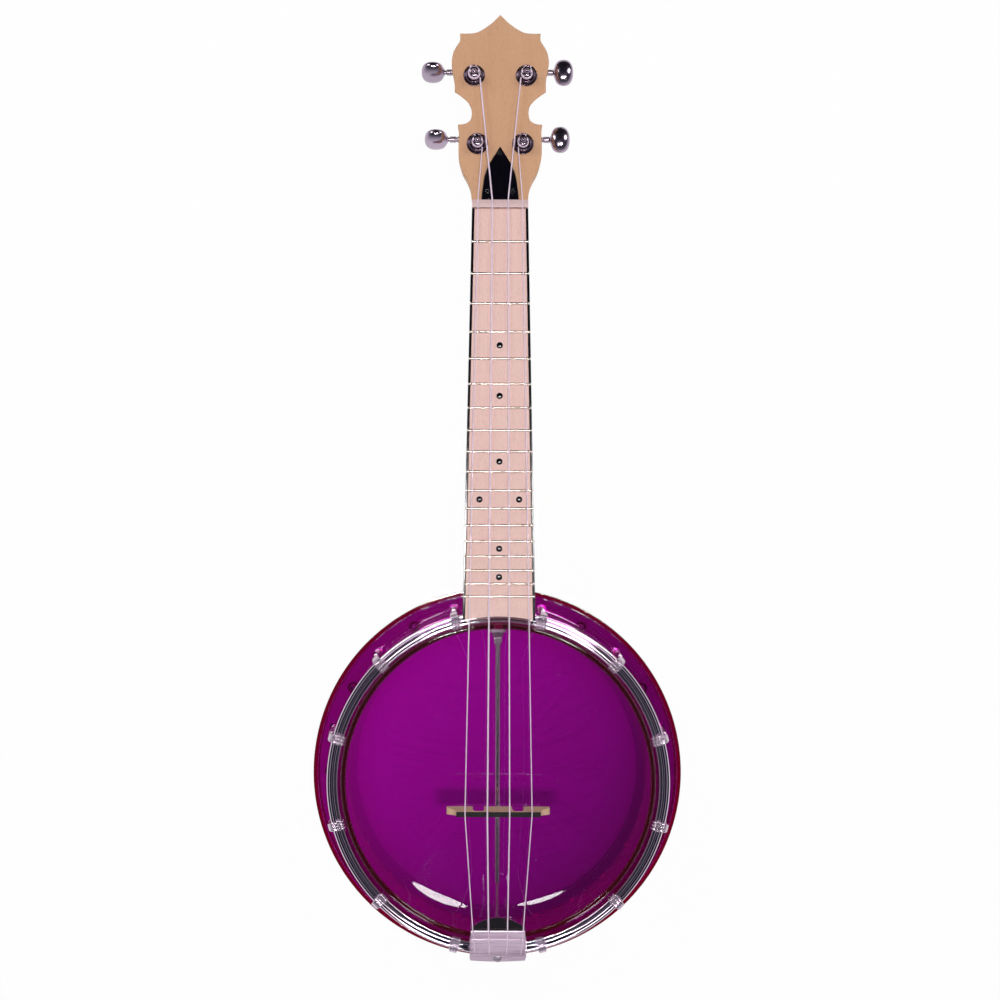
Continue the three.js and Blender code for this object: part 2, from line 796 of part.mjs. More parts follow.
function neck() {
  const slabOnPeghead = pegheadSlab().applyMatrix4(peghead.matrix);
  const flange = potOuterRadius + fit;
  const overHoop = hoopOuterRadius + fit;
  const step = fleshHoopBottom - fit;
  const potSpace = turned([
    [0, flangeTop],
    [flange, flangeTop],
    [flange, step],
    [overHoop, step],
    [overHoop, neckTop + overrun],
    [0, neckTop + overrun],
  ], ringSides);
  const channelHalf = trussRodRadius + fit;
  const channelEnd = nutBackY + trussPocketLength;
  const trussChannel = block(
    [-channelHalf, channelHalf],
    [trussRodStart - fit, channelEnd],
    [neckTop - trussChannelDepth, neckTop + overrun],
  );
  const boltHole = barAlongY(neckBoltRadius + fit, potOuterRadius - overrun, neckBoltTip + fit, 8);
  return cut(join(neckShaft(), slabOnPeghead), potSpace, trussChannel, moved(boltHole, 0, 0, rodHeight));
}
add('neck', neck(), 'neckMaple');

// Truss rod in its channel under the fingerboard, with a hexagon nut below the cover
function trussRod() {
  const height = neckTop - trussChannelDepth + trussRodRadius + fit;
  const end = nutBackY + trussPocketLength - overrun;
  const hexagon = barAlongY(trussRodRadius, end - trussNutLength, end, 6);
  const rod = barAlongY(trussRodRadius * 0.9, trussRodStart, end - trussNutLength / 2, 8);
  return moved(join(rod, hexagon), 0, 0, height);
}
add('truss_rod', trussRod(), 'steel');
add('truss_rod_cover', trussRodCover(), 'blackPlastic', peghead);

// Fingerboard with its frets pressed in, between two strips of binding

const boardFrontY = nutFrontY - fit;

// Board outline between two distances from its edge, with an end that follows the hoop
function boardPlan(inset) {
  const steps = 6;
  const end = Array.from({ length: steps + 1 }, (_, i) => {
    const across = boardEndWidth / 2 - inset;
    const x = across * (1 - (2 * i) / steps);
    return [x, Math.sqrt(boardEndRadius ** 2 - x ** 2)];
  });
  const frontHalf = boardHalfWidth(boardFrontY) - inset;
  return outline([...end.reverse(), [frontHalf, boardFrontY], [-frontHalf, boardFrontY]]);
}

function fret(number) {
  const y = fretY(number);
  const crown = fretWidth / 2;
  const flat = fretCrownFlat / 2;
  return channel([
    [y - crown, boardTop - fit],
    [y + crown, boardTop - fit],
    [y + crown, boardTop],
    [y + flat, boardTop + fretHeight],
    [y - flat, boardTop + fretHeight],
    [y - crown, boardTop],
  ], 2 * (boardHalfWidth(y) - bindingWidth - fit - fretEndInset));
}

function fingerboard() {
  const board = slab(boardPlan(bindingWidth + fit), boardBottom, boardTop);
  return join(board, ...Array.from({ length: fretCount }, (_, i) => fret(i + 1)));
}
add('fingerboard', fingerboard(), 'boardMaple');

// Strip of binding on one side of the board
function binding(side) {
  const outer = boardEndWidth / 2;
  const inner = outer - bindingWidth;
  const front = boardHalfWidth(boardFrontY);
  const endY = (x) => Math.sqrt(boardEndRadius ** 2 - x ** 2);
  return slab(outline([
    [side * outer, endY(outer)],
    [side * front, boardFrontY],
    [side * (front - bindingWidth), boardFrontY],
    [side * inner, endY(inner)],
  ]), boardBottom, boardTop);
}
add('binding_left', binding(-1), 'blackPlastic');
add('binding_right', binding(1), 'blackPlastic');

// Nut, notched for each string
function stringNut() {
  const body = channel([
    [nutFrontY, boardBottom],
    [nutBackY, boardBottom],
    [nutBackY, nutTop - nutHeight / 2],
    [nutFrontY + nutHeight, nutTop],
    [nutFrontY, nutTop],
  ], nutWidth);
  const notches = strings.map(({ diameter, nutX }) => block(
    [nutX - diameter / 2 - fit, nutX + diameter / 2 + fit],
    [nutFrontY - overrun, nutBackY + overrun],
    [nutTop - diameter / 2 - fit, nutTop + overrun],
  ));
  return cut(body, ...notches);
}
add('string_nut', stringNut(), 'bone');

// Bridge with three feet, and its dark saddle

const bridgeBottom = headTop + fit;
const bridgeTop = bridgeBottom + bridgeHeight;
const maplePartHeight = bridgeHeight - bridgeSaddleHeight - fit;
// Right half of the bridge seen from the neck: shares of its half length and of the wood's height
const bridgeShares = [
  [0.272, 0], [0.275, 0.56], [0.305, 0.77], [0.35, 0.82],
  [0.415, 0.82], [0.46, 0.77], [0.489, 0.56], [0.492, 0],
  [1, 0], [1, 0.2], [0.93, 0.42], [0.84, 0.66], [0.81, 1],
];

function bridge() {
  const right = bridgeShares.map(([x, z]) => [x * bridgeHalfLength, z * maplePartHeight]);
  const left = right.map(([x, z]) => [-x, z]).reverse();
  const plate = slab(outline([...right, ...left]), -bridgeFootThickness / 2, bridgeFootThickness / 2);
  const place = plate.attributes.position;
  for (let i = 0; i < place.count; i += 1) {
    const share = place.getY(i) / maplePartHeight;
    const narrowing = 1 - share * (1 - bridgeTopThickness / bridgeFootThickness);
    place.setZ(i, place.getZ(i) * narrowing);
  }
  return plate.rotateX(Math.PI / 2).translate(0, saddleY, bridgeBottom);
}
add('bridge', bridge(), 'boardMaple');

function bridgeSaddle() {
  const bottom = bridgeTop - bridgeSaddleHeight;
  const body = block(
    [-bridgeSaddleLength / 2, bridgeSaddleLength / 2],
    [saddleY - bridgeTopThickness / 2, saddleY + bridgeTopThickness / 2],
    [bottom, bridgeTop],
  );
  const notches = strings.map(({ diameter, bridgeX }) => block(
    [bridgeX - diameter / 2 - fit, bridgeX + diameter / 2 + fit],
    [saddleY - bridgeTopThickness, saddleY + bridgeTopThickness],
    [bridgeTop - diameter / 2 - fit, bridgeTop + overrun],
  ));
  return cut(body, ...notches);
}
add('bridge_saddle', bridgeSaddle(), 'ebony');

// Tailpiece: a plate over the hoop, whose arched lip turns down over the head

const hangerTop = hoopTop + fit + hangerThickness;
const tailpieceBottom = hangerTop + fit;
const tailpieceTop = tailpieceBottom + tailpieceThickness;
const tailpieceRearY = -(hoopOuterRadius - tailpieceRearReach);
const tailpieceBreakY = tailpieceRearY + tailpieceFlatLength;
const tailpieceLipY = tailpieceBreakY + tailpieceLipReach;
const largestString = Math.max(...strings.map(({ diameter }) => diameter));

function tailpiece() {
  const lip = tailpieceTop - tailpieceLipDrop;
  const slope = tailpieceThickness / 2;
  const plate = channel([
    [tailpieceRearY, tailpieceBottom],
    [tailpieceRearY, tailpieceTop - tailpieceRearRoll],
    [tailpieceRearY + tailpieceRearRoll, tailpieceTop],
    [tailpieceBreakY, tailpieceTop],
    [tailpieceLipY, lip],
    [tailpieceLipY, lip - tailpieceThickness],
    [tailpieceBreakY - slope, tailpieceBottom],
  ], tailpieceWidth);
  const half = tailpieceWidth / 2;
  const archRadius = (half ** 2 + tailpieceArch ** 2) / (2 * tailpieceArch);
  const archAngle = Math.asin(half / archRadius);
  const plan = new THREE.Shape()
    .moveTo(-half, tailpieceRearY)
    .lineTo(half, tailpieceRearY)
    .absarc(
      0,
      tailpieceLipY - archRadius,
      archRadius,
      Math.PI / 2 - archAngle,
      Math.PI / 2 + archAngle,
      false,
    );
  const arched = common(plate, slab(plan, headTop, tailpieceTop + overrun, 10));
  const notches = strings.map(({ diameter, rearX }) => block(
    [rearX - diameter / 2 - fit, rearX + diameter / 2 + fit],
    [tailpieceRearY - overrun, tailpieceRearY + stringNotchDepth],
    [tailpieceBottom - overrun, tailpieceTop + overrun],
  ));
  return cut(arched, ...notches);
}
add('tailpiece', tailpiece(), 'brushed');

// Hanger: a leg on the hoop, a web down outside it and a ledge for the bolt

function tailpieceHanger() {
  const legBottom = hoopTop + fit;
  const ledgeTop = hoopTop - hangerLedgeDrop;
  const web = -(hoopOuterRadius + fit);
  const bracket = channel([
    [tailpieceRearY + hangerLegLength, legBottom],
    [tailpieceRearY + hangerLegLength, hangerTop],
    [web - hangerWebThickness, hangerTop],
    [web - hangerWebThickness, ledgeTop],
    [web - hangerLedgeReach, ledgeTop],
    [web - hangerLedgeReach, ledgeTop - hangerThickness],
    [web, ledgeTop - hangerThickness],
    [web, legBottom],
  ], hangerWidth);
  // The ledge's free edge bulges at the middle, and the hoop curves away behind the web
  const half = hangerWidth / 2;
  const edge = web - hangerLedgeReach;
  const plan = new THREE.Shape()
    .moveTo(-half, tailpieceRearY + hangerLegLength)
    .lineTo(-half, edge + hangerThickness)
    .quadraticCurveTo(-half, edge + hangerThickness / 2, -half + hangerThickness, edge + hangerThickness / 2)
    .quadraticCurveTo(0, edge - hangerThickness / 2, half - hangerThickness, edge + hangerThickness / 2)
    .quadraticCurveTo(half, edge + hangerThickness / 2, half, edge + hangerThickness)
    .lineTo(half, tailpieceRearY + hangerLegLength);
  const trimmed = common(bracket, slab(plan, ledgeTop - hangerThickness - overrun, hangerTop + overrun, 5));
  const centre = -tailBoltCircleRadius;
  return cut(
    trimmed,
    moved(bar(hookShankRadius + fit, ledgeTop - hangerThickness - overrun, hangerTop, 8), 0, centre),
    moved(bar(tailBoltHeadRadius + fit, ledgeTop, hangerTop + overrun, 12), 0, centre),
  );
}
add('tailpiece_hanger', tailpieceHanger(), 'brushed');

function tailpieceBolt() {
  const seat = hoopTop - hangerLedgeDrop + fit;
  const bolt = turned([
    [0, hookShankEnd],
    [hookShankRadius, hookShankEnd],
    [hookShankRadius, seat],
    [tailBoltHeadRadius, seat],
    [tailBoltHeadRadius, seat + tailBoltHeadHeight / 2],
    [tailBoltHeadRadius / 2, seat + tailBoltHeadHeight],
    [0, seat + tailBoltHeadHeight],
  ], 10);
  return moved(join(bolt, flangeNut), 0, -tailBoltCircleRadius);
}
add('tailpiece_bolt', tailpieceBolt(), 'chrome');

// Tuning machines. Each is drawn for the right side about its post's axis, and mirrored.

function placed(place, geometry) {
  const sided = place.side < 0 ? mirrored(geometry) : geometry;
  return moved(sided, place.side * place.x, place.reach);
}

const washerBottom = fit;
const bushingSeat = washerBottom + washerThickness;
const bushingTop = bushingSeat + bushingHexHeight;

// Bushing: a hexagon on its washer, with a sleeve down into the peghead
function bushing() {
  return cut(
    join(
      bar(washerRadius, washerBottom, bushingSeat + fit, 16),
      bar(bushingHexRadius, bushingSeat, bushingTop, 6),
      bar(bushingSleeveRadius, bushingSeat - bushingSleeveLength, bushingTop - fit, 10),
    ),
    bar(postRadius + fit, -pegheadThickness, bushingTop + overrun, 10),
  );
}
// Plan of the housing: from the gear's side to beyond the worm
const housingEnd = wormY + wormTipRadius + fit + housingWall;
const cavityHalf = gearTipRadius + fit * 2;
const wormEnd = wormLength / 2;

// Housing: a box for the gear and the worm, and the plate with an ear that it is screwed on by
function housing() {
  const half = housingReach();
  const corner = housingWall;
  const plan = outline([
    [-half + corner, -half],
    [half - corner, -half],
    [half, -half + corner],
    [half, housingEnd - corner],
    [half - corner, housingEnd],
    [-half + corner, housingEnd],
    [-half, housingEnd - corner],
    [-half, -half + corner],
  ]);
  const wormRoom = wormTipRadius + fit;
  const boss = moved(barAlongX(stemRadius, half - fit, half + housingWall, 10), 0, wormY, wormZ);
  return cut(
    join(slab(plan, housingBottom, housingTop + fit), boss, coverPlate()),
    bar(cavityHalf, cavityFloor, housingTop, 12),
    block([-wormEnd - fit, wormEnd + fit], [0, wormY + wormRoom], [wormZ - wormRoom, housingTop]),
    bar(postRadius + fit, cavityFloor, plateTop + overrun, 10),
    bar(postJournalRadius + fit, housingBottom - overrun, cavityFloor + overrun, 8),
    moved(barAlongX(wormJournalRadius + fit, -wormEnd - wormJournalLength - fit, 0, 8), 0, wormY, wormZ),
    moved(barAlongX(shaftRadius + fit, 0, half + housingWall + overrun, 10), 0, wormY, wormZ),
  );
}

function coverPlate() {
  const half = housingReach();
  const shape = new THREE.Shape()
    .moveTo(half, -half)
    .lineTo(half, housingEnd)
    .lineTo(-half, housingEnd)
    .lineTo(-half, -half)
    .lineTo(-earRadius, -half)
    .absarc(0, -half - earRadius - fit, earRadius, Math.PI, 2 * Math.PI, false)
    .lineTo(earRadius, -half);
  return slab(shape, plateBottom, plateTop, 5);
}

// Where the string winds on the post
const waistBottom = bushingTop + fit;
const waistTop = waistBottom + postWaistHeight;

function windingOf(string) {
  const radius = postWaistRadius + fit + string.diameter / 2;
  const lowest = waistBottom + fit + largestString / 2;
  return { radius, lowest, hole: lowest + windingPitch * windingLoops + windingPitch / 2 };
}
const holeHeight = windingOf(strings[0]).hole;

function post(turn) {
  const top = waistTop + postHeadHeight;
  const profile = [
    [0, housingBottom + fit],
    [postJournalRadius, housingBottom + fit],
    [postJournalRadius, cavityFloor + fit],
    [postGearSeatRadius, cavityFloor + fit],
    [postGearSeatRadius, gearTop + fit],
    [postRadius, gearTop + fit],
    [postRadius, waistBottom],
    [postWaistRadius, waistBottom + fit],
    [postWaistRadius, waistTop - fit],
    [postRadius, waistTop],
    [postRadius, top - postTipRadius / 2],
    [postTipRadius, top],
    [0, top],
  ];
  const hole = moved(barAlongX(postHoleRadius, -postRadius - overrun, postRadius + overrun, 6), 0, 0, holeHeight);
  return join(cut(turned(profile, 8), hole.rotateZ(turn)), gear());
}

// Worm's hand: 1 is a right-hand thread on the right side
const wormHand = 1;

// Gear riveted on the post, its teeth slanted with the worm's thread
function gear() {
  const layers = [-1, 1];
  const rings = layers.map((layer) => {
    const z = (layer * gearThickness) / 2;
    const twist = (wormHand * z * wormPitch) / (2 * Math.PI * wormMeanRadius * gearPitchRadius);
    return Array.from({ length: gearTeeth }, (_, tooth) => {
      const middle = Math.PI / 2 + (2 * Math.PI * tooth) / gearTeeth + twist;
      const root = gearToothRootWidth / 2 / gearRootRadius;
      const tip = gearToothTipWidth / 2 / gearTipRadius;
      return [[gearRootRadius, -root], [gearTipRadius, -tip], [gearTipRadius, tip], [gearRootRadius, root]]
        .map(([radius, offset]) => new THREE.Vector3(
          radius * Math.cos(middle + offset),
          radius * Math.sin(middle + offset),
          wormZ + z,
        ));
    }).flat();
  });
  return loft(rings);
}

// Worm with its journals, and the shaft that carries the button
function worm() {
  const sides = 10;
  const steps = 14;
  const stations = Array.from({ length: steps + 1 }, (_, i) => -wormEnd + (wormLength * i) / steps);
  const rings = stations.map((x) => Array.from({ length: sides }, (_, n) => {
    const angle = (2 * Math.PI * n) / sides;
    const phase = (2 * Math.PI * x) / wormPitch - wormHand * (angle - Math.PI);
    const radius = wormMeanRadius - (wormThreadHeight / 2) * Math.cos(phase);
    return new THREE.Vector3(x, radius * Math.cos(angle), radius * Math.sin(angle));
  }));
  const thread = loft(rings);
  const buttonBore = buttonStart + buttonBoreDepth;
  return moved(join(
    thread,
    barAlongX(wormJournalRadius, -wormEnd - wormJournalLength, 0, 8),
    barAlongX(shaftRadius, 0, buttonStart - fit, 10),
    barAlongX(shaftTipRadius, 0, buttonBore - fit, 6),
  ), 0, wormY, wormZ);
}

// Stem and oval button: shares of the length, of the half height and of the half thickness
const buttonShares = [
  [0, 0.3, 0.58], [0.06, 0.34, 0.62], [0.16, 0.68, 0.82], [0.38, 0.96, 1],
  [0.6, 1, 1], [0.84, 0.8, 0.84], [1, 0.42, 0.5],
];

function button(turn) {
  const sides = 12;
  const rings = buttonShares.map(([along, high, thick]) => Array.from({ length: sides }, (_, n) => {
    const angle = (2 * Math.PI * n) / sides;
    return new THREE.Vector3(
      buttonStart + along * buttonLength,
      high * buttonHalfHeight * Math.cos(angle),
      thick * buttonHalfThickness * Math.sin(angle),
    );
  }));
  const bore = barAlongX(shaftTipRadius + fit, buttonStart - overrun, buttonStart + buttonBoreDepth, 8);
  return moved(cut(loft(rings), bore).rotateX(radians(turn)), 0, wormY, wormZ);
}

// Strings. Each runs from its hook behind the tailpiece over the saddle and the nut to its post.

const toPeghead = peghead.matrix.clone().invert();

function windingRun(string, place) {
  const { radius, lowest, hole } = windingOf(string);
  const centre = new THREE.Vector3(place.side * place.x, place.reach, 0);
  const nutPoint = new THREE.Vector3(string.nutX, nutBackY, nutTop - nutHeight / 2 + string.diameter / 2 + fit)
    .applyMatrix4(toPeghead);
  const away = nutPoint.clone().sub(centre).setZ(0);
  const inward = -place.side;
  const leave = Math.atan2(away.y, away.x) + Math.acos(radius / away.length()) * inward;
  const onCircle = (angle, z, reach = radius) => new THREE.Vector3(
    centre.x + reach * Math.cos(angle),
    centre.y + reach * Math.sin(angle),
    z,
  );
  const stepsPerLoop = 24;
  const steps = windingLoops * stepsPerLoop;
  const spin = -inward; // the way the string goes round as it climbs from where it leaves
  const loops = Array.from({ length: steps + 1 }, (_, i) => onCircle(
    leave + (spin * 2 * Math.PI * i) / stepsPerLoop,
    lowest + (windingPitch * i) / stepsPerLoop,
  ));
  const outside = radius + string.diameter / 2;
  const holeTurn = leave + spin * (2 * Math.PI * windingLoops + Math.PI / 3);
  const entry = [
    onCircle(holeTurn - spin * Math.PI / 6, hole - windingPitch / 6, outside - fit / 2),
    onCircle(holeTurn - spin * Math.PI / 14, hole - fit / 3, outside),
    onCircle(holeTurn, hole, radius),
    onCircle(holeTurn, hole, postRadius / 2),
    onCircle(holeTurn + Math.PI, hole, postRadius / 2),
    onCircle(holeTurn + Math.PI, hole, postRadius),
    onCircle(holeTurn + Math.PI, hole, postRadius + windingTailLength),
  ];
  const direction = nutPoint.clone().sub(loops[0]).normalize();
  const freeEnd = loops[0].clone().addScaledVector(direction, string.diameter);
  const stillEnd = loops[0].clone().addScaledVector(direction, stringSweepClearance);
  return { points: [freeEnd, ...loops, ...entry], stillEnd, holeTurn };
}

// Least gap between two stretches of a winding that aren't neighbours along it
function leastGap(points, diameter) {
  const along = [0];
  for (let i = 1; i < points.length; i += 1) along.push(along[i - 1] + points[i].distanceTo(points[i - 1]));
  let least = Infinity;
  for (let i = 0; i < points.length; i += 1) {
    for (let j = i + 1; j < points.length; j += 1) {
      if (along[j] - along[i] > 4 * diameter) least = Math.min(least, points[i].distanceTo(points[j]) - diameter);
    }
  }
  return least;
}

const runs = strings.map((string) => windingRun(string, tunerPlaces[string.tuner]));

tunerPlaces.forEach((place, i) => {
  const run = runs[strings.findIndex((string) => string.tuner === i)];
  const turn = place.side < 0 ? Math.PI - run.holeTurn : run.holeTurn;
  const number = i + 1;
  add(`tuner_housing_${number}`, placed(place, housing()), 'chrome', peghead);
  add(`tuner_bushing_${number}`, placed(place, bushing()), 'chrome', peghead);
  add(`tuner_post_${number}`, placed(place, post(turn)), 'chrome', peghead);
  add(`tuner_worm_${number}`, placed(place, worm()), 'steel', peghead);
  add(`tuner_button_${number}`, placed(place, button(place.turn)), 'chrome', peghead);
});

strings.forEach((string, i) => {
  const number = i + 1;
  const radius = string.diameter / 2;
  const run = runs[i];
  add(`string_winding_${string.tuner + 1}`, cord(run.points, radius), 'nylon', peghead);
  console.log(`string ${number} winding: least gap ${leastGap(run.points, string.diameter).toFixed(3)} mm`);
  const over = tailpieceTop + fit + radius;
  const hookY = tailpieceRearY + radius + fit;
  const stillEnd = run.stillEnd.clone().applyMatrix4(peghead.matrix);
  const route = [
    [string.rearX, hookY, over - stringHookLength],
    [string.rearX, hookY, over - radius - fit],
    [string.rearX, hookY + radius, over],
    [string.lipX, tailpieceBreakY, over],
    [string.bridgeX, saddleY, bridgeTop],
    [string.nutX, nutFrontY, nutTop],
    [string.nutX, nutBackY, nutTop - nutHeight / 2 + radius + fit],
    [stillEnd.x, stillEnd.y, stillEnd.z],
  ].map(([x, y, z]) => new THREE.Vector3(x, y, z));
  add(`string_${number}`, cord(route, radius), 'nylon');
});

export default instrument;
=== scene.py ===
# A concert banjo ukulele with a see-through pot and resonator, lying on its back.

from math import asin, atan2, acos, copysign, cos, floor, log2, pi, radians, sin, sqrt, tan

import bpy
from mathutils import Matrix, Vector


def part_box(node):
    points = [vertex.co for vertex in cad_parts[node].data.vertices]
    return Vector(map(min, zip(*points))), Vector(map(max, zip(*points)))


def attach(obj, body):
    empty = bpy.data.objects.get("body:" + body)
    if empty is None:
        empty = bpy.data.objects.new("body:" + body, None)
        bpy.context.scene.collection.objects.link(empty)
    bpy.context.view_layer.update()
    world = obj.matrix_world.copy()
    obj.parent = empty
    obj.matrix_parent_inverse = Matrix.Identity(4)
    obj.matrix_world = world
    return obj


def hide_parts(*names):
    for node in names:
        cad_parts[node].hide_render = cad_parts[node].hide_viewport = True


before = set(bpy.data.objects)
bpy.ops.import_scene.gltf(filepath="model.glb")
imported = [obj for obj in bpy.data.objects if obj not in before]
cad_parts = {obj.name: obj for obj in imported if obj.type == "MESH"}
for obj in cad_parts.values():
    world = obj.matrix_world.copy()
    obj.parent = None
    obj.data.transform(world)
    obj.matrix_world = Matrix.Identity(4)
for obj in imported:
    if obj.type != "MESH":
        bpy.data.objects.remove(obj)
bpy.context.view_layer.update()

bpy.ops.object.select_all(action='DESELECT')

# Pieces are modelled in millimetres and brought to metres when they are finished.
mm = 0.001
fit = 0.3  # between two pieces that meet
overrun = 3  # how far a cutter runs past its work


def node_box(node):
    return [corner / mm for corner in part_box(node)]


# Camera

strings_height = 75
camera_distance = 1000
frame_width = 626.8  # what the picture spans at the strings' height
sensor_width = 36
camera_x = -18
camera_y = 179
camera_shift = 0.0293
camera_roll = 0.17


def make_camera():
    data = bpy.data.cameras.new('camera')
    data.sensor_width = sensor_width
    data.lens = sensor_width * camera_distance / frame_width
    data.shift_x = camera_shift
    camera = bpy.data.objects.new('camera', data)
    camera.location = Vector((camera_x, camera_y, strings_height + camera_distance)) * mm
    camera.rotation_euler.z = radians(camera_roll)
    bpy.context.scene.collection.objects.link(camera)
    bpy.context.scene.camera = camera


make_camera()


# Shader tools

def colour(red, green, blue):
    """Screen colour from 0 to 255, as the linear one that shaders take."""
    def linear(value):
        share = value / 255
        return share / 12.92 if share <= 0.04045 else ((share + 0.055) / 1.055) ** 2.4
    return (linear(red), linear(green), linear(blue), 1)


def grey(value):
    return (value, value, value, 1)


class Signal:
    """A value that runs through a material, and takes part in sums."""

    def __init__(self, shading, socket):
        self.shading = shading
        self.socket = socket

    def __add__(self, other):
        return self.shading.sum('ADD', self, other)

    def __radd__(self, other):
        return self.shading.sum('ADD', other, self)

    def __sub__(self, other):
        return self.shading.sum('SUBTRACT', self, other)

    def __rsub__(self, other):
        return self.shading.sum('SUBTRACT', other, self)

    def __mul__(self, other):
        return self.shading.sum('MULTIPLY', self, other)

    def __rmul__(self, other):
        return self.shading.sum('MULTIPLY', other, self)


class Shading:
    """The node tree of a material or of the room."""

    def __init__(self, owner):
        owner.use_nodes = True
        self.tree = owner.node_tree

    def node(self, kind, settings=None, sockets=None):
        made = self.tree.nodes.new(kind)
        for setting, value in (settings or {}).items():
            if setting == 'stops':
                self.set_stops(made.color_ramp, value)
            else:
                setattr(made, setting, value)
        for socket, value in (sockets or {}).items():
            self.feed(made.inputs[socket], value)
        return made

    def set_stops(self, ramp, stops):
        for index, (place, shade) in enumerate(stops):
            if index >= len(ramp.elements):
                ramp.elements.new(place)
            ramp.elements[index].position = place
            ramp.elements[index].color = shade

    def feed(self, socket, value):
        if isinstance(value, Signal):
            self.tree.links.new(value.socket, socket)
        else:
            socket.default_value = value

    def out(self, made, socket=0):
        return Signal(self, made.outputs[socket])

    def sum(self, operation, first, second):
        return self.out(self.node('ShaderNodeMath', {'operation': operation}, {0: first, 1: second}))

    def coordinates(self, kind='Object', scale=(1, 1, 1)):
        source = self.out(self.node('ShaderNodeTexCoord'), kind)
        return self.out(self.node('ShaderNodeMapping', None, {'Vector': source, 'Scale': scale}))

    def along(self, axis, kind='Object'):
        """One coordinate, in metres on a piece and from -1 to 1 in the room."""
        parts = self.node('ShaderNodeSeparateXYZ', None, {0: self.coordinates(kind)})
        return self.out(parts, 'XYZ'.index(axis))

    def noise(self, scale, stretch=(1, 1, 1), detail=2, distortion=0):
        return self.out(self.node('ShaderNodeTexNoise', None, {
            'Vector': self.coordinates(scale=stretch), 'Scale': scale, 'Detail': detail,
            'Distortion': distortion}), 'Fac')

    def ramp(self, value, stops):
        return self.out(self.node('ShaderNodeValToRGB', {'stops': stops}, {'Fac': value}))

    def mix(self, share, first, second, blend='MIX'):
        made = self.node('ShaderNodeMix', {'data_type': 'RGBA', 'blend_type': blend}, {
            'Factor': share, 6: first, 7: second,
        })
        return self.out(made, 2)

    def eased(self, value, start, end):
        """Runs smoothly from 0 at the start to 1 at the end."""
        return self.out(self.node('ShaderNodeMapRange', {'interpolation_type': 'SMOOTHSTEP'}, {
            'Value': value, 'From Min': start, 'From Max': end}))

    def bump(self, height, strength, depth):
        return self.out(self.node('ShaderNodeBump', None, {
            'Height': height, 'Strength': strength, 'Distance': depth,
        }))


class Finish(Shading):
    """A material with one principled shader."""

    def __init__(self, name, slot, **constants):
        self.slot = slot
        self.material = bpy.data.materials.new(name)
        super().__init__(self.material)
        self.shader = self.tree.nodes['Principled BSDF']
        self.output = self.tree.nodes['Material Output']
        self.shade(**constants)

    def shade(self, **inputs):
        for name, value in inputs.items():
            self.feed(self.shader.inputs[name.replace('_', ' ')], value)


# Finishes

def see_through(name='purple_plastic', glow=(0, 0, 0), strength=0):
    """Purple plastic that swallows green at once and blue sooner than red. A glow, where given, is painted
    light that its faces give off.
    """
    finish = Finish(name, 'purple_plastic', Base_Color=grey(1), IOR=1.49, Transmission_Weight=1,
                    Specular_IOR_Level=1, Coat_Weight=1,
                    Emission_Color=colour(*glow), Emission_Strength=strength)
    finish.shade(
        Roughness=finish.noise(90) * 0.02,
        Normal=finish.bump(finish.noise(45, detail=3), 0.02, 0.2 * mm),
    )
    swallowed = finish.node('ShaderNodeVolumeAbsorption', None, {
        'Color': (0.967, 0, 0.949, 1), 'Density': 2500})
    finish.tree.links.new(swallowed.outputs[0], finish.output.inputs['Volume'])
    return finish


def drilled():
    """Where a drill left the same plastic rough. Its walls also give off magenta light in rings, a painted
    glow that stands in for the light they catch.
    """
    finish = Finish('drilled_plastic_painted_glow', 'purple_plastic', Roughness=0.5, Emission_Strength=0.55)
    # Painted glow: magenta emission, in fine rings, from the hole walls.
    rings = finish.noise(1, (200, 200, 2500))
    shade = finish.mix(rings, colour(255, 0, 170), colour(255, 0, 205))
    finish.shade(Base_Color=colour(150, 0, 110), Emission_Color=shade)
    return finish


def clear_film():
    finish = Finish('clear_film', 'clear_film', Base_Color=grey(1), IOR=1.4, Transmission_Weight=1)
    scuffs = finish.noise(1, (30, 900, 200), 3)
    finish.shade(
        Roughness=finish.noise(25) * 0.02,
        Normal=finish.bump(scuffs, 0.015, 0.1 * mm),
    )
    return finish


def metal(name, slot, shade, stain, roughness, spread, grain=(140, 140, 140), depth=0.01, streaked=False):
    """Bare or plated metal: its roughness wanders, and fine grain runs the way it was polished."""
    finish = Finish(name, slot, Metallic=1)
    if streaked:
        cloud = finish.eased(finish.noise(1, (25, 500, 25), 3), 0.35, 0.65)
    else:
        cloud = finish.noise(35, detail=4)
    lines = finish.noise(1, grain, 3)
    finish.shade(
        Base_Color=finish.mix(cloud, colour(*shade), colour(*stain)),
        Roughness=cloud * spread + roughness,
        Normal=finish.bump(lines, 0.12, depth * mm),
    )
    return finish


def wood(name, slot, light, dark, figure=0.5, roughness=0.45):
    """Maple, whose fibres run along the neck."""
    finish = Finish(name, slot)
    clouds = finish.noise(1, (70, 9, 70), 3, 0.6)
    fibres = finish.noise(1, (1300, 45, 1300), 3, 0.3)
    flecks = finish.noise(1, (3200, 500, 3200), 2)
    shade = finish.mix(clouds * figure + fibres * 0.45, colour(*light), colour(*dark))
    fleck = finish.ramp(flecks, [(0.32, grey(0.84)), (0.44, grey(1))])
    finish.shade(
        Base_Color=finish.mix(1, shade, fleck, 'MULTIPLY'),
        Roughness=fibres * 0.15 + roughness,
        Normal=finish.bump(fibres, 0.15, 0.05 * mm),
    )
    return finish


def moulded(name, slot, shade, worn, roughness, coat=0):
    """Plain moulded or carved stuff, slightly mottled."""
    finish = Finish(name, slot, Coat_Weight=coat)
    mottle = finish.noise(300, detail=4)
    finish.shade(
        Base_Color=finish.mix(mottle, colour(*shade), colour(*worn)),
        Roughness=mottle * 0.12 + roughness,
        Normal=finish.bump(mottle, 0.08, 0.04 * mm),
    )
    return finish


plastic = see_through()
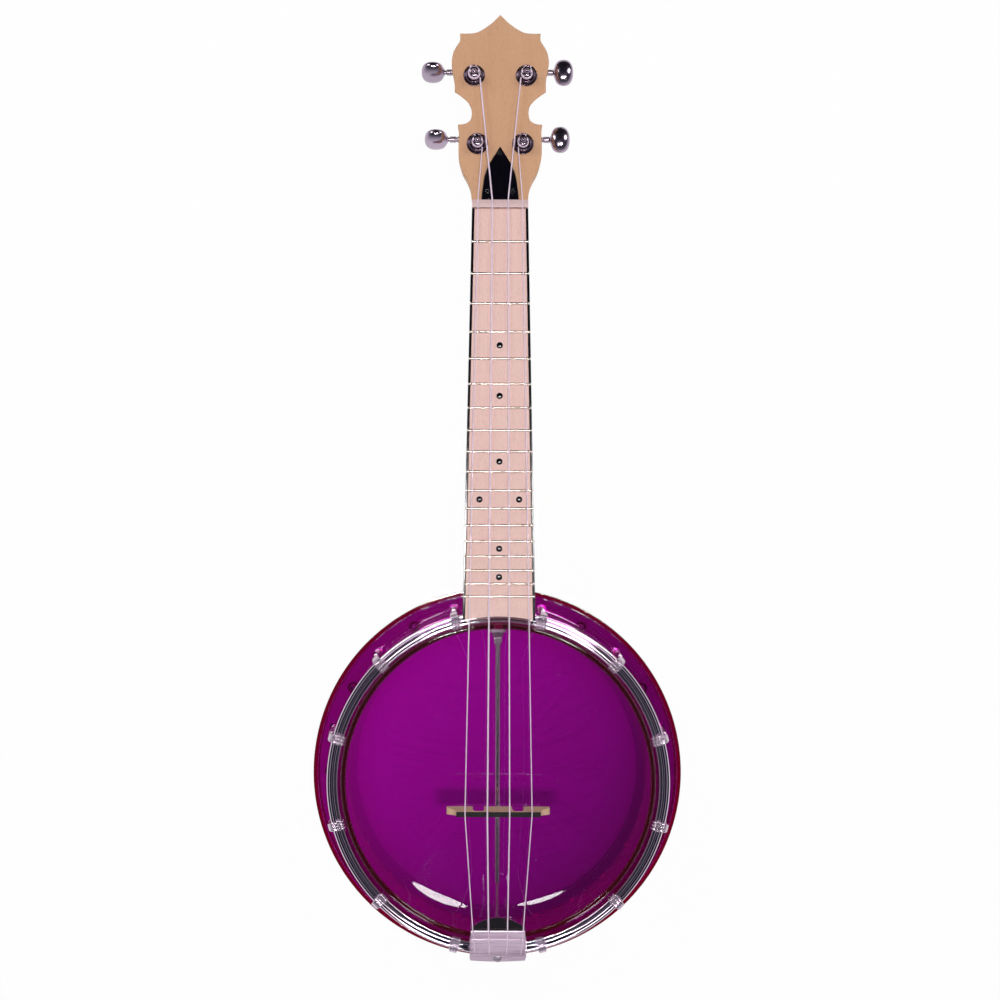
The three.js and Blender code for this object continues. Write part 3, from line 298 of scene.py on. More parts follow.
# Painted glow: these faces give off dark red light of their own, standing in for light that runs along inside
# an edge and leaves it red.
edge_plastic_painted_glow = see_through('plastic_edge_painted_glow', (110, 0, 34), 0.55)
# Painted glow on the pot's upright wall: dark red light of its own, standing in for light carried inside it.
wall_plastic_painted_glow = see_through('plastic_wall_painted_glow', (90, 0, 26), 0.3)
hole_wall_painted_glow = drilled()
film = clear_film()
plated = metal('plated', 'chrome', (226, 212, 228), (200, 184, 202), 0.06, 0.08)
button_plate = metal('button_plate', 'chrome', (196, 180, 198), (160, 144, 162), 0.1, 0.1)
dark_plate = metal('dark_plate', 'chrome', (112, 94, 110), (78, 62, 76), 0.12, 0.1)
post_plate = metal('post_plate', 'chrome', (170, 152, 168), (130, 112, 128), 0.14, 0.1)
cast = metal('cast_hooks', 'chrome', (226, 208, 224), (186, 166, 184), 0.16, 0.16)
hoop_plate = metal('hoop_plate', 'chrome', (240, 226, 240), (218, 200, 218), 0.025, 0.05,
                   grain=(60, 60, 900), depth=0.004)
steel = metal('bare_steel', 'steel', (206, 192, 206), (160, 146, 160), 0.3, 0.2)
rod_steel = metal('rod_steel', 'steel', (236, 218, 232), (196, 176, 192), 0.12, 0.12)
# Painted reflection: the screw heads are coloured dark purple for the plastic they mirror, where bare steel
# would be grey.
screw_steel_painted_purple = metal('screw_steel_painted_purple', 'steel', (100, 24, 94), (60, 8, 56), 0.3, 0.2)
brushed = metal('brushed', 'brushed_plate', (232, 208, 228), (188, 162, 184), 0.4, 0.1,
                grain=(90, 3200, 300), depth=0.03, streaked=True)
fret_metal = metal('fret_metal', 'steel', (240, 226, 214), (214, 198, 190), 0.16, 0.12)
neck_wood = wood('neck_maple', 'neck_maple', (226, 177, 138), (202, 150, 112))
board_wood = wood('board_maple', 'board_maple', (246, 209, 200), (226, 181, 171), 0.4)
bridge_wood = wood('bridge_maple', 'board_maple', (238, 205, 170), (205, 160, 128))
dark_wood = moulded('saddle_ebony', 'ebony', (9, 4, 7), (22, 14, 18), 0.7)
black = moulded('black_plastic', 'black_plastic', (5, 4, 9), (12, 10, 18), 0.06, 0.1)
bone = moulded('nut_bone', 'bone_plastic', (232, 202, 200), (214, 182, 182), 0.3, 0.2)
nylon = moulded('nylon', 'nylon', (244, 224, 240), (226, 202, 222), 0.25, 0.3)


# Modelling tools

def select_only(piece):
    bpy.ops.object.select_all(action='DESELECT')
    piece.select_set(True)
    bpy.context.view_layer.objects.active = piece


def new_piece(name, points, edges=(), faces=()):
    mesh = bpy.data.meshes.new(name)
    mesh.from_pydata([Vector(point) for point in points], edges, faces)
    mesh.update()
    piece = bpy.data.objects.new(name, mesh)
    bpy.context.scene.collection.objects.link(piece)
    select_only(piece)
    return piece


def worked(piece, *steps):
    """Runs mesh tools, each a (tool, settings) pair, over the whole of a piece."""
    select_only(piece)
    bpy.ops.object.mode_set(mode='EDIT')
    for tool, settings in steps:
        bpy.ops.mesh.select_all(action='SELECT')
        tool(**settings)
    bpy.ops.object.mode_set(mode='OBJECT')
    return piece


def outwards(piece):
    """Closes a piece's seams and turns its faces outwards."""
    return worked(piece, (bpy.ops.mesh.remove_doubles, {'threshold': 0.001}),
                  (bpy.ops.mesh.normals_make_consistent, {'inside': False}))


def sliced(piece, axis, places):
    """Extra edges at places along an axis, so that the piece can be bent there."""
    way = Vector([int(name == axis) for name in 'XYZ'])
    return worked(piece, *(
        (bpy.ops.mesh.bisect, {'plane_co': way * place, 'plane_no': way}) for place in places))


def apply_modifier(piece, kind, **settings):
    select_only(piece)
    change = piece.modifiers.new(kind.lower(), kind)
    for setting, value in settings.items():
        setattr(change, setting, value)
    bpy.ops.object.modifier_apply(modifier=change.name)
    return piece


def bevelled(piece, width, segments=3, angle=30):
    return apply_modifier(piece, 'BEVEL', width=width, segments=segments, limit_method='ANGLE',
                          angle_limit=radians(angle), use_clamp_overlap=False, miter_outer='MITER_ARC')


def combined(piece, others, operation='DIFFERENCE'):
    """Cuts the others from a piece, or adds them to it."""
    for other in others:
        apply_modifier(piece, 'BOOLEAN', operation=operation, object=other, solver='EXACT')
        bpy.data.objects.remove(other, do_unlink=True)
    return piece


def moved(piece, matrix):
    piece.data.transform(matrix)
    if matrix.determinant() < 0:
        piece.data.flip_normals()
    return piece


def shifted(piece, x=0, y=0, z=0):
    return moved(piece, Matrix.Translation((x, y, z)))


def copied(piece, name, matrix=Matrix()):
    copy = piece.copy()
    copy.data = piece.data.copy()
    copy.name = name
    bpy.context.scene.collection.objects.link(copy)
    return moved(copy, matrix)


def copied_around(piece, angles):
    """A copy of a piece at each angle, and the piece itself gone."""
    copies = [copied(piece, piece.name, around(angle)) for angle in angles]
    bpy.data.objects.remove(piece, do_unlink=True)
    return copies


def joined(name, pieces):
    bpy.ops.object.select_all(action='DESELECT')
    for piece in pieces:
        piece.select_set(True)
    bpy.context.view_layer.objects.active = pieces[0]
    bpy.ops.object.join()
    piece = bpy.context.object
    piece.name = name
    return piece


def finishes_by_face(piece, finishes, choice):
    """Gives each face of a piece the finish whose number the choice returns."""
    for finish in finishes:
        piece.data.materials.append(finish.material)
    for face in piece.data.polygons:
        face.material_index = int(choice(face))


def finished(piece, finish, body='instrument', replaced=(), angle=30):
    """Brings a piece to metres and hands it over with its finish, its body and the nodes it stands for."""
    piece.data.transform(Matrix.Scale(mm, 4))
    select_only(piece)
    bpy.ops.object.shade_smooth_by_angle(angle=radians(angle))
    apply_modifier(piece, 'WEIGHTED_NORMAL', keep_sharp=True)
    if not piece.data.materials:
        piece.data.materials.append(finish.material)
    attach(piece, body)
    if replaced:
        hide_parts(*replaced)
    return piece


def arc(centre, radius, start, end, steps):
    """Points of an arc between two angles in degrees."""
    return [
        (centre[0] + radius * cos(radians(start + (end - start) * i / steps)),
         centre[1] + radius * sin(radians(start + (end - start) * i / steps)))
        for i in range(steps + 1)
    ]


def rounded(corners, steps=5):
    """A closed outline of (x, y, rounding) corners, each rounding drawn as an arc."""
    points = []
    for i, (x, y, rounding) in enumerate(corners):
        here = Vector((x, y))
        if not rounding:
            points.append((x, y))
            continue
        before = (Vector(corners[i - 1][:2]) - here).normalized()
        after = (Vector(corners[(i + 1) % len(corners)][:2]) - here).normalized()
        half = before.angle(after) / 2
        centre = here + (before + after).normalized() * rounding / sin(half)
        first = here + before * rounding / tan(half) - centre
        sweep = first.angle_signed(here + after * rounding / tan(half) - centre)
        points += [tuple(centre + Matrix.Rotation(-sweep * n / steps, 2) @ first) for n in range(steps + 1)]
    return points


def through(points, steps=8):
    """A smooth curve through points, of any number of coordinates."""
    points = [Vector(point) for point in points]
    curve = []
    for i in range(len(points) - 1):
        a, b, c, d = (points[min(max(i + n, 0), len(points) - 1)] for n in (-1, 0, 1, 2))
        for n in range(steps):
            t = n / steps
            into, away = (c - a) / 2, (d - b) / 2
            curve.append((2 * b - 2 * c + into + away) * t ** 3 + (3 * c - 3 * b - 2 * into - away) * t ** 2
                         + into * t + b)
    return curve + [points[-1]]


def turned(name, profile, steps=256, closed=False):
    """A profile of (radius, height) points spun about the upright axis."""
    count = len(profile)
    edges = [(i, i + 1) for i in range(count - 1)] + ([(count - 1, 0)] if closed else [])
    piece = new_piece(name, [(radius, 0, height) for radius, height in profile], edges)
    settings = {'steps': steps, 'angle': 2 * pi, 'center': (0, 0, 0), 'axis': (0, 0, 1)}
    return outwards(worked(piece, (bpy.ops.mesh.spin, settings)))


def pushed(piece, way):
    """A flat face drawn out into a solid."""
    settings = {'TRANSFORM_OT_translate': {'value': way}}
    return outwards(worked(piece, (bpy.ops.mesh.extrude_region_move, settings)))


def rectangle(left, right, near, far, *rounding):
    """Corners of a rectangle, each with its rounding if there is one."""
    return [(x, y, *rounding) for x, y in ((left, near), (right, near), (right, far), (left, far))]


def plate(name, outline, low, high):
    """A flat outline in plan with thickness upwards."""
    face = new_piece(name, [(x, y, low) for x, y in outline], faces=[range(len(outline))])
    return pushed(face, (0, 0, high - low))


def across(name, section, width):
    """A section in y and z drawn out to both sides of the middle."""
    face = new_piece(name, [(-width / 2, y, z) for y, z in section], faces=[range(len(section))])
    return pushed(face, (width, 0, 0))


def bar(name, radius, low, high, at=(0, 0), sides=32):
    bpy.ops.mesh.primitive_cylinder_add(vertices=sides, radius=radius, depth=high - low,
                                        location=(*at, (low + high) / 2))
    piece = bpy.context.object
    piece.name = name
    bpy.ops.object.transform_apply(location=True, rotation=True, scale=True)
    return piece


lay_along_y = Matrix.Rotation(-pi / 2, 4, 'X')
lay_along_x = Matrix.Rotation(pi / 2, 4, 'Y')


def bar_along_y(name, radius, start, end, x, z, sides=32):
    return shifted(moved(bar(name, radius, start, end, sides=sides), lay_along_y), x, 0, z)


def bar_along_x(name, radius, start, end, y, z, sides=32):
    return shifted(moved(bar(name, radius, start, end, sides=sides), lay_along_x), 0, y, z)


def hexagon(name, radius, low, high, bore=0):
    """A nut with its corners turned off at both ends."""
    nut = bar(name, radius, low, high, sides=6)
    chamfer = radius * 0.12
    beyond = radius + chamfer / 4
    cone = turned(name + '_turning', [
        (0, low), (radius - chamfer, low), (beyond, low + chamfer), (beyond, high - chamfer),
        (radius - chamfer, high), (0, high)], 48)
    combined(nut, [cone], 'INTERSECT')
    return combined(nut, [bar('bore', bore, low - 1, high + 1)]) if bore else nut


def lofted(name, rings):
    """Rings of equally many points, bridged and closed at both ends."""
    points, edges = [], []
    for ring in rings:
        first, count = len(points), len(ring)
        points += ring
        edges += [(first + i, first + (i + 1) % count) for i in range(count)]
    piece = new_piece(name, points, edges)
    worked(piece, (bpy.ops.mesh.bridge_edge_loops, {}), (bpy.ops.mesh.fill_holes, {'sides': 0}))
    return outwards(piece)


def strand(name, points, radius, swell=None, resolution=4):
    """A round strand through points, whose radius may swell and shrink along it."""
    data = bpy.data.curves.new(name, 'CURVE')
    data.dimensions = '3D'
    data.bevel_depth = radius
    data.bevel_resolution = resolution
    data.use_fill_caps = True
    line = data.splines.new('POLY')
    line.points.add(len(points) - 1)
    for i, (point, place) in enumerate(zip(line.points, points)):
        point.co = (*place, 1)
        point.radius = swell[i] if swell else 1
    piece = bpy.data.objects.new(name, data)
    bpy.context.scene.collection.objects.link(piece)
    select_only(piece)
    bpy.ops.object.convert(target='MESH')
    return outwards(bpy.context.object)


def around(angle):
    """Turn to an angle counted clockwise from the neck."""
    return Matrix.Rotation(-radians(angle), 4, 'Z')


def ridges(radius, low, high, pitch, depth):
    """The profile of a thread, from its foot up."""
    count = int((high - low) / pitch)
    profile = []
    for i in range(count):
        z = low + i * pitch
        profile += [(radius, z), (radius - depth, z + pitch / 2)]
    return profile + [(radius, low + count * pitch)]


# Bowl and pot, both of the see-through plastic

bowl_box, pot_box, head_box, hoop_box = (
    node_box(node) for node in ('resonator_bowl', 'pot_rim', 'drum_head', 'tension_hoop'))
bowl_radius = bowl_box[1].x
bowl_wall = 2.4
bowl_back = 3
bowl_dish_width = 27
bowl_dish_height = 21
bowl_sweep = 48  # where the inside starts to rise, from the rim
bowl_lip_rounding = 0.5
flange_top = bowl_box[1].z
flange_bottom = pot_box[0].z
flange_radius = bowl_radius - bowl_wall - fit
screw_angles = (30, 60, 90, 120, 150, 210, 240, 270, 300, 330)
screw_circle = flange_radius - 8.3
boss_radius = 3.6
screw_radius = 1.5
screw_length = 12
pot_inner = 97
pot_wall = 3.8
pot_outer = pot_inner + pot_wall
bearing_top = pot_box[1].z
hoop_outer = hoop_box[1].x
hoop_inner = hoop_outer - 6.7
hoop_bottom, hoop_top = hoop_box[0].z, hoop_box[1].z
hook_angles = range(15, 360, 30)
hook_room = 3.7  # what a hook takes up outside the hoop
hook_circle = hoop_outer + fit + hook_room / 2
hook_shank_radius = 1.8
tail_bolt_radius = 2.8
tail_bolt_circle = hoop_outer + fit + tail_bolt_radius
rod_height = 32
rod_thread_radius = 1.5
neck_bolt_radius = 2.5


def dish_arc(wall, back, width, steps=20):
    """Where the back sweeps up into the rim, so far inside the bowl's outer face."""
    start, rise = bowl_radius - width, bowl_dish_height - back
    angles = [pi / 2 * i / steps for i in range(steps + 1)]
    return [(start + (width - wall) * sin(angle), bowl_dish_height - rise * cos(angle)) for angle in angles]


def make_bowl():
    rim = bowl_radius - bowl_wall
    soft = bowl_lip_rounding
    shell = turned('bowl', [
        (0, 0), *dish_arc(0, 0, bowl_dish_width),
        *arc((bowl_radius - soft, flange_top - soft), soft, 0, 90, 4),
        *arc((rim + soft, flange_top - soft), soft, 90, 180, 4),
        *dish_arc(bowl_wall, bowl_back, bowl_sweep)[::-1], (0, bowl_back),
    ])
    at = (0, screw_circle)
    boss = bar('boss', boss_radius, 0, flange_bottom - fit, at)
    pilot = bar('pilot', screw_radius + fit, flange_top - screw_length - fit, flange_top, at, 20)
    bosses = joined('bosses', copied_around(boss, screw_angles))
    within = turned('within', [(0, bowl_back / 2), *dish_arc(bowl_wall / 2, bowl_back / 2, bowl_dish_width),
                               (bowl_radius - bowl_wall / 2, flange_top), (0, flange_top)])
    combined(bosses, [within], 'INTERSECT')
    combined(shell, [bosses], 'UNION')
    combined(shell, [joined('pilots', copied_around(pilot, screw_angles))])
    # The bowl's wall and lip above half the dish's height get the painted red glow.
    finishes_by_face(shell, (plastic, edge_plastic_painted_glow), lambda face:
                     face.center.to_2d().length > rim - 0.1 and face.center.z > bowl_dish_height / 2)
    finished(shell, plastic, replaced=['resonator_bowl'])


def drill(piece, cutter):
    """Cuts holes whose walls stay rough and get the painted glow."""
    finishes_by_face(cutter, (plastic, hole_wall_painted_glow), lambda face: 1)
    combined(piece, [cutter])


def make_pot():
    pot = turned('pot', rounded([
        (pot_inner, flange_bottom, 0.4), (pot_inner, bearing_top, 1.2), (pot_outer, bearing_top, 1.8),
        (pot_outer, flange_top, 1), (flange_radius, flange_top, 0.5), (flange_radius, flange_bottom, 0.5),
    ]), closed=True)
    # The pot's upright wall above the flange gets its painted dark red glow; the hole walls get theirs when
    # drilled.
    finishes_by_face(pot, (plastic, hole_wall_painted_glow, wall_plastic_painted_glow),
                     lambda face: 2 * (face.center.z > flange_top + 0.5))
    span = (flange_bottom - overrun, flange_top + overrun)
    hook_hole = bar('hook_hole', hook_shank_radius + fit, *span, (0, hook_circle), 24)
    screw_hole = bar('screw_hole', screw_radius + fit, *span, (0, screw_circle), 20)
    tail_hole = bar('tail_hole', hook_shank_radius + fit, *span, (0, -tail_bolt_circle), 24)
    holes = copied_around(hook_hole, hook_angles) + copied_around(screw_hole, screw_angles) + [tail_hole]
    drill(pot, joined('holes', holes))
    walls = (pot_inner - overrun, pot_outer + overrun)
    drill(pot, bar_along_y('bolt_hole', neck_bolt_radius + fit, *walls, 0, rod_height, 24))
    drill(pot, bar_along_y('rod_hole', rod_thread_radius + fit, -walls[1], -walls[0], 0, rod_height, 24))
    finished(pot, plastic, replaced=['pot_rim'])


make_bowl()
make_pot()


def cross_recess(x, y, top, size, depth, wide=0.55):
    """A cutter for the cross in a screw's head."""
    blades = [plate('blade', rectangle(-a, a, -b, b), top - depth, top + 1)
              for a, b in ((size, wide / 2), (wide / 2, size))]
    combined(blades[0], [blades[1]], 'UNION')
    return shifted(blades[0], x, y)


def screw(name, radius, head, height, length, pitch=0.8):
    """A screw with a low round head on z 0 and its thread below."""
    dome = [(head * cos(radians(a)), height * (0.25 + 0.75 * sin(radians(a)))) for a in range(0, 90, 12)]
    piece = turned(name, [
        (0, -length), (radius * 0.3, -length), *ridges(radius, -length + 1, -1, pitch, radius * 0.2),
        (radius, 0), (head, 0), *dome, (0, height)], 32)
    return combined(piece, [cross_recess(0, 0, height, head * 0.55, height * 0.6, head * 0.22)])


def make_bowl_screws():
    head_radius, head_height, sunk = 1.75, 0.7, 0.4
    first = shifted(screw('bowl_screw', screw_radius, head_radius, head_height, screw_length),
                    0, screw_circle, flange_top - sunk)
    for number, piece in enumerate(copied_around(first, screw_angles), 1):
        piece.name = f'bowl_screw_{number}'
        finished(piece, screw_steel_painted_purple)


make_bowl_screws()


# Head, flesh hoop and tension hoop

head_top = head_box[1].z
head_outer = head_box[1].x
film_thickness = 0.3


def make_head():
    crest = (pot_inner + pot_outer) / 2
    low = head_box[0].z
    outside = [(0, head_top), (crest, head_top), *arc((crest, head_top - 2.4), 2.4, 90, 30, 5)[1:],
               (head_outer, head_top - 2.6), (head_outer, low)]
    inside = [(x - (film_thickness if x > crest else 0), z - (film_thickness if z > head_top - 2.5 else 0))
              for x, z in outside[:-1]] + [(head_outer - film_thickness, low)]
    finished(turned('head', outside + inside[::-1]), film, replaced=['drum_head'])


def make_flesh_hoop():
    low, high = (corner.z for corner in node_box('flesh_hoop'))
    inner, outer = head_outer + fit, node_box('flesh_hoop')[1].x
    ring = turned('flesh_ring', rounded(rectangle(inner, outer, low, high, 0.9)), closed=True)
    finished(ring, steel, replaced=['flesh_hoop'])


# The hoop's groove: how far out from its inner face, and how deep
hoop_groove = [(1.1, 0.12), (1.5, 0.8), (2.1, 1.4), (2.9, 1.65), (3.6, 1.45), (4.1, 0.9), (4.45, 0.35)]
hoop_foot = 0.5
hoop_inner_lip = 0.55
hoop_outer_lip = 1.15


def make_hoop():
    """A deep ring with a round lip to either side of the groove in its top."""
    foot, inner, outer = hoop_foot, hoop_inner_lip, hoop_outer_lip
    ring = turned('hoop', [
        *arc((hoop_inner + foot, hoop_bottom + foot), foot, -90, -180, 3),
        *arc((hoop_inner + inner, hoop_top - inner), inner, 180, 50, 8),
        *through([(hoop_inner + out, hoop_top - down) for out, down in hoop_groove], 5),
        *arc((hoop_outer - outer, hoop_top - outer), outer, 150, 0, 14),
        *arc((hoop_outer - foot, hoop_bottom + foot), foot, 0, -90, 3),
    ], closed=True)
    finished(ring, hoop_plate, replaced=['tension_hoop'], angle=40)


make_head()
make_flesh_hoop()
make_hoop()


# Hooks: three tines over the hoop that run together into a threaded shank

hook_shank_end = 11
hook_nut_radius = 3.7
hook_nut_height = 3.2
shank_joint = 46  # up to where the shank is round, inside the claw
tine_spread = 2.25
# Radius, height, how far a side tine stands from the middle one, and how thick it is there
tine_route = [
    (100.95, 63.9, 0.86, 0.6), (100.9, 65.0, 0.88, 0.72), (101.2, 66.3, 0.92, 0.86),
    (102.3, 67.15, 0.94, 0.98), (103.5, 66.9, 0.98, 1.05), (104.9, 66.55, 1, 1.12), (106.4, 67.1, 0.94, 1),
    (108, 67.3, 0.84, 0.92), (109.4, 66.8, 0.76, 0.9), (110.4, 65, 0.66, 0.92), (110.7, 61, 0.5, 0.95),
    (110.8, 56, 0.3, 1), (110.85, 51, 0.13, 1.1), (110.85, 46, 0.04, 1.2),
]


def hook_thread():
    """The profile that the hooks' shanks and the tailpiece's bolt share, from its foot to past the flange."""
    return [(0, hook_shank_end), (hook_shank_radius * 0.7, hook_shank_end),
            *ridges(hook_shank_radius, hook_shank_end + 0.5, flange_top + 6, 0.8, 0.3),
            (hook_shank_radius, flange_top + 7)]


def nut_under_flange():
    return hexagon('nut', hook_nut_radius, flange_bottom - fit - hook_nut_height, flange_bottom - fit)


def make_hooks():
    route = through(tine_route, 5)
    tines = []
    for side in (-1, 0, 1):
        points = [(side * tine_spread * spread, radius, height) for radius, height, spread, _ in route]
        tines.append(strand('tine', points, 1, [thick for *_, thick in route], 3))
    claw = joined('claw', tines)
    apply_modifier(claw, 'REMESH', mode='VOXEL', voxel_size=0.2)
    apply_modifier(claw, 'SMOOTH', factor=0.5, iterations=1)
    shank = turned('shank', [
        *hook_thread(), (hook_shank_radius, shank_joint), (hook_shank_radius * 0.8, shank_joint + 3),
        (0, shank_joint + 3)], 28)
    hook = joined('hook', [claw, shifted(joined('bolt', [shank, nut_under_flange()]), 0, hook_circle)])
    for number, piece in enumerate(copied_around(hook, hook_angles), 1):
        piece.name = f'hook_{number:02d}'
        finished(piece, cast, replaced=[f'tension_hook_{number:02d}'], angle=40)


make_hooks()


# Neck bolt, washer and the rod across the pot

washer_low, washer_high = node_box('neck_washer')
bolt_low, bolt_high = node_box('neck_bolt')
rod_low, rod_high = node_box('coordinator_rod')
neck_nut_radius = 4.2
neck_nut_height = 2.2
rod_radius = 2
rod_nut_radius = 3.4
rod_nut_height = 3
rod_thread_length = 34.5
neck_nut_face = washer_low.y - fit
block_width = 5.5
block_length = 5.7
block_height = 7


def facing_neck(piece, y):
    """Turns an upright piece to run along the neck, its top towards the tail."""
    return shifted(moved(piece, Matrix.Rotation(pi / 2, 4, 'X')), 0, y, rod_height)


def make_neck_bolt():
    nut = facing_neck(hexagon('nut', neck_nut_radius, 0, neck_nut_height), neck_nut_face)
    ends = (bolt_low.y, bolt_high.y)
    shaft = turned('bolt', [
        (0, ends[0]), (neck_bolt_radius * 0.8, ends[0]),
        *ridges(neck_bolt_radius, ends[0] + 0.4, ends[1] - 1, 0.9, 0.3), (0, ends[1])], 32)
    moved(shaft, lay_along_y)
    finished(joined('neck_screw', [nut, shifted(shaft, 0, 0, rod_height)]), steel,
             replaced=['neck_bolt'], angle=40)
    x, z = washer_high.x, (washer_high.z - washer_low.z) / 2
    outline = rounded(rectangle(-x, x, -z, z, 1.5))
    washer = new_piece('washer', [(a, washer_low.y, rod_height + b) for a, b in outline],
                       faces=[range(len(outline))])
    pushed(washer, (0, washer_high.y - washer_low.y, 0))
    bevelled(washer, 0.5)
    ends = (washer_low.y - 1, washer_high.y + 1)
    combined(washer, [bar_along_y('bore', neck_bolt_radius + fit, *ends, 0, rod_height)])
    finished(washer, brushed, replaced=['neck_washer'])


def make_rod():
    half = block_width / 2
    face = rod_high.y
    centre = face - block_length + half
    screw_y, hole_radius, sunk = face - 2.6, 1.3, 0.9
    block = plate('block', [(half, face), (-half, face), *arc((0, centre), half, 180, 360, 12)],
                  rod_height - block_height / 2, rod_height + block_height / 2)
    bevelled(block, 0.5)
    combined(block, [bar('hole', hole_radius, rod_height, rod_height + block_height, (0, screw_y))])
    screw_head = shifted(screw('block_screw', 1.1, 1.25, 0.5, 4),
                         0, screw_y, rod_height + block_height / 2 - sunk)
    thread_top = rod_low.y + rod_thread_length
    rod = turned('rod', [
        (0, rod_low.y), (rod_thread_radius * 0.7, rod_low.y),
        *ridges(rod_thread_radius, rod_low.y + 0.4, thread_top, 0.8, 0.28),
        (rod_radius, thread_top + 0.3), (rod_radius, centre), (0, centre)], 32)
    moved(rod, lay_along_y)
    nuts = [facing_neck(hexagon('nut', rod_nut_radius, 0, rod_nut_height), y)
            for y in (-pot_inner + fit + rod_nut_height, -pot_outer - fit)]
    finished(joined('rod', [block, screw_head, shifted(rod, 0, 0, rod_height), *nuts]), rod_steel,
             replaced=['coordinator_rod'], angle=40)


make_neck_bolt()
make_rod()


# Neck: heel, shaft and tilted peghead of one piece of maple

nut_box = node_box('string_nut')
saddle_y = -18
saddle_setback = 2.5
scale_length = 378.5
nut_front = saddle_y + saddle_setback + scale_length
nut_back = nut_box[1].y
nut_width = nut_box[1].x * 2
neck_top = hoop_top + 0.2
board_bottom = neck_top + fit
board_top = board_bottom + 4
board_end_width = 46
board_end_radius = hoop_inner + 3.6
board_slope = (board_end_width - nut_width) / (nut_front - board_end_radius) / 2
neck_depth = 15
neck_depth_at_heel = 18
heel_half_width = 20
heel_depth = neck_top - flange_top - 1.5
heel_length = 16
heel_sweep = 42
volute = 17
peghead_tilt = 3
peghead_thickness = 12
peghead_length = 119.9
peghead_half_width = 30.9
peghead_edge = 0.45
peghead_undercut = 5
truss_radius = 2.6
truss_depth = 7.2
truss_start = 134
truss_pocket = 22
full_heel = 0.5
round_shaft = 0.85
# How the heel turns into the shaft: places along its sweep, and depth left of the heel's
heel_sweep_shares = [(0, 1), (0.16, 0.93), (0.38, 0.62), (0.62, 0.27), (0.82, 0.08), (1, 0)]
# Right half of the peghead, from its tip down to the nut: four smooth runs between corners
peghead_run_shares = [
    [(0, 1), (0.2, 0.95), (0.43, 0.911), (0.59, 0.9), (0.83, 0.899)],
    [(0.83, 0.899), (0.828, 0.862), (0.89, 0.834), (0.966, 0.797), (1, 0.744), (0.979, 0.7), (0.94, 0.64),
     (0.937, 0.583)],
    [(0.937, 0.583), (0.8, 0.558), (0.68, 0.532), (0.604, 0.505), (0.585, 0.485), (0.585, 0.46),
     (0.617, 0.432), (0.72, 0.414), (0.869, 0.409)],
    [(0.869, 0.409), (0.846, 0.37), (0.853, 0.31), (0.848, 0.235), (0.775, 0.163), (0.67, 0.113),
     (0.602, 0.067), (0.573, 0.009)],
]
peghead_place = Matrix.Translation((0, nut_back, neck_top)) @ Matrix.Rotation(-radians(peghead_tilt), 4, 'X')
post_places = [(-1, 16.6, 80.5), (1, 16.6, 80.5), (-1, 14.4, 36.6), (1, 14.4, 36.6)]
sleeve_radius = 4.1


def half_board(y):
    return nut_width / 2 + (nut_front - y) * board_slope


def neck_ring(y, top, half_width, depth, fullness, steps=40):
    ring = []
    for i in range(steps + 1):
        side, down = cos(pi * i / steps), max(sin(pi * i / steps), 0)
        ring.append((half_width * copysign(abs(side) ** fullness, side), y, top - depth * down ** fullness))
    return ring


def make_shaft():
    def depth_at(y):
        share = (nut_front - y) / (nut_front - pot_outer - heel_sweep)
        return neck_depth + (neck_depth_at_heel - neck_depth) * share

    rings = [neck_ring(pot_outer - overrun, neck_top, heel_half_width, heel_depth, full_heel)]
    for place, left in through(heel_sweep_shares, 4):
        y = pot_outer + heel_length + place * (heel_sweep - heel_length)
        depth = depth_at(y) + (heel_depth - depth_at(y)) * left
        half_width = half_board(y) + (heel_half_width - half_board(y)) * left
        fullness = round_shaft + (full_heel - round_shaft) * left
        rings.append(neck_ring(y, neck_top, half_width, depth, fullness))
    for place in (0.2, 0.4, 0.6, 0.8, 1):
        y = pot_outer + heel_sweep + place * (nut_back - pot_outer - heel_sweep)
        rings.append(neck_ring(y, neck_top, half_board(min(y, nut_front)), depth_at(y), round_shaft))
    fall = volute * tan(radians(peghead_tilt)) + fit
    rings.append(neck_ring(nut_back + volute, neck_top - fall, nut_width / 2 - fit,
                           peghead_thickness - fit - fit, round_shaft))
    return lofted('maple_neck', rings)


def peghead_outline():
    right = []
    for run in peghead_run_shares:
        right += [(x * peghead_half_width, y * peghead_length) for x, y in through(run, 4)][:-1]
    right.append((nut_width / 2, 0))
    return right + [(-x, y) for x, y in right[:0:-1]]


def with_directions(outline):
    """Each point of an outline with the directions of the edges before and after it."""
    points = [Vector(point) for point in outline]
    return [(here, (here - points[i - 1]).normalized(), (points[(i + 1) % len(points)] - here).normalized())
            for i, here in enumerate(points)]


def drawn_in(outline, inset):
    """An outline that runs so far inside another."""
    moved_in = []
    for here, before, after in with_directions(outline):
        inwards = Vector((before.y + after.y, -before.x - after.x)).normalized()
        moved_in.append(here + inwards * inset / max(inwards.dot(Vector((after.y, -after.x))), 0.5))
    return moved_in


def undercut(outline, depth, fade=30, reach=9):
    """An outline whose edges that face the pot are set back by up to a depth.

    It starts at half the fade's distance past the nut, and each such edge takes its neighbours
    within its reach along.
    """
    facing = [(here, max(-before.x, -after.x, 0) * min(max(here.y / fade - 0.5, 0), 1))
              for here, before, after in with_directions(outline)]
    set_back = []
    for here, _ in facing:
        share = max(part * max(1 - (here - there).length / reach, 0) for there, part in facing)
        set_back.append((here.x, here.y + depth * share))
    return set_back


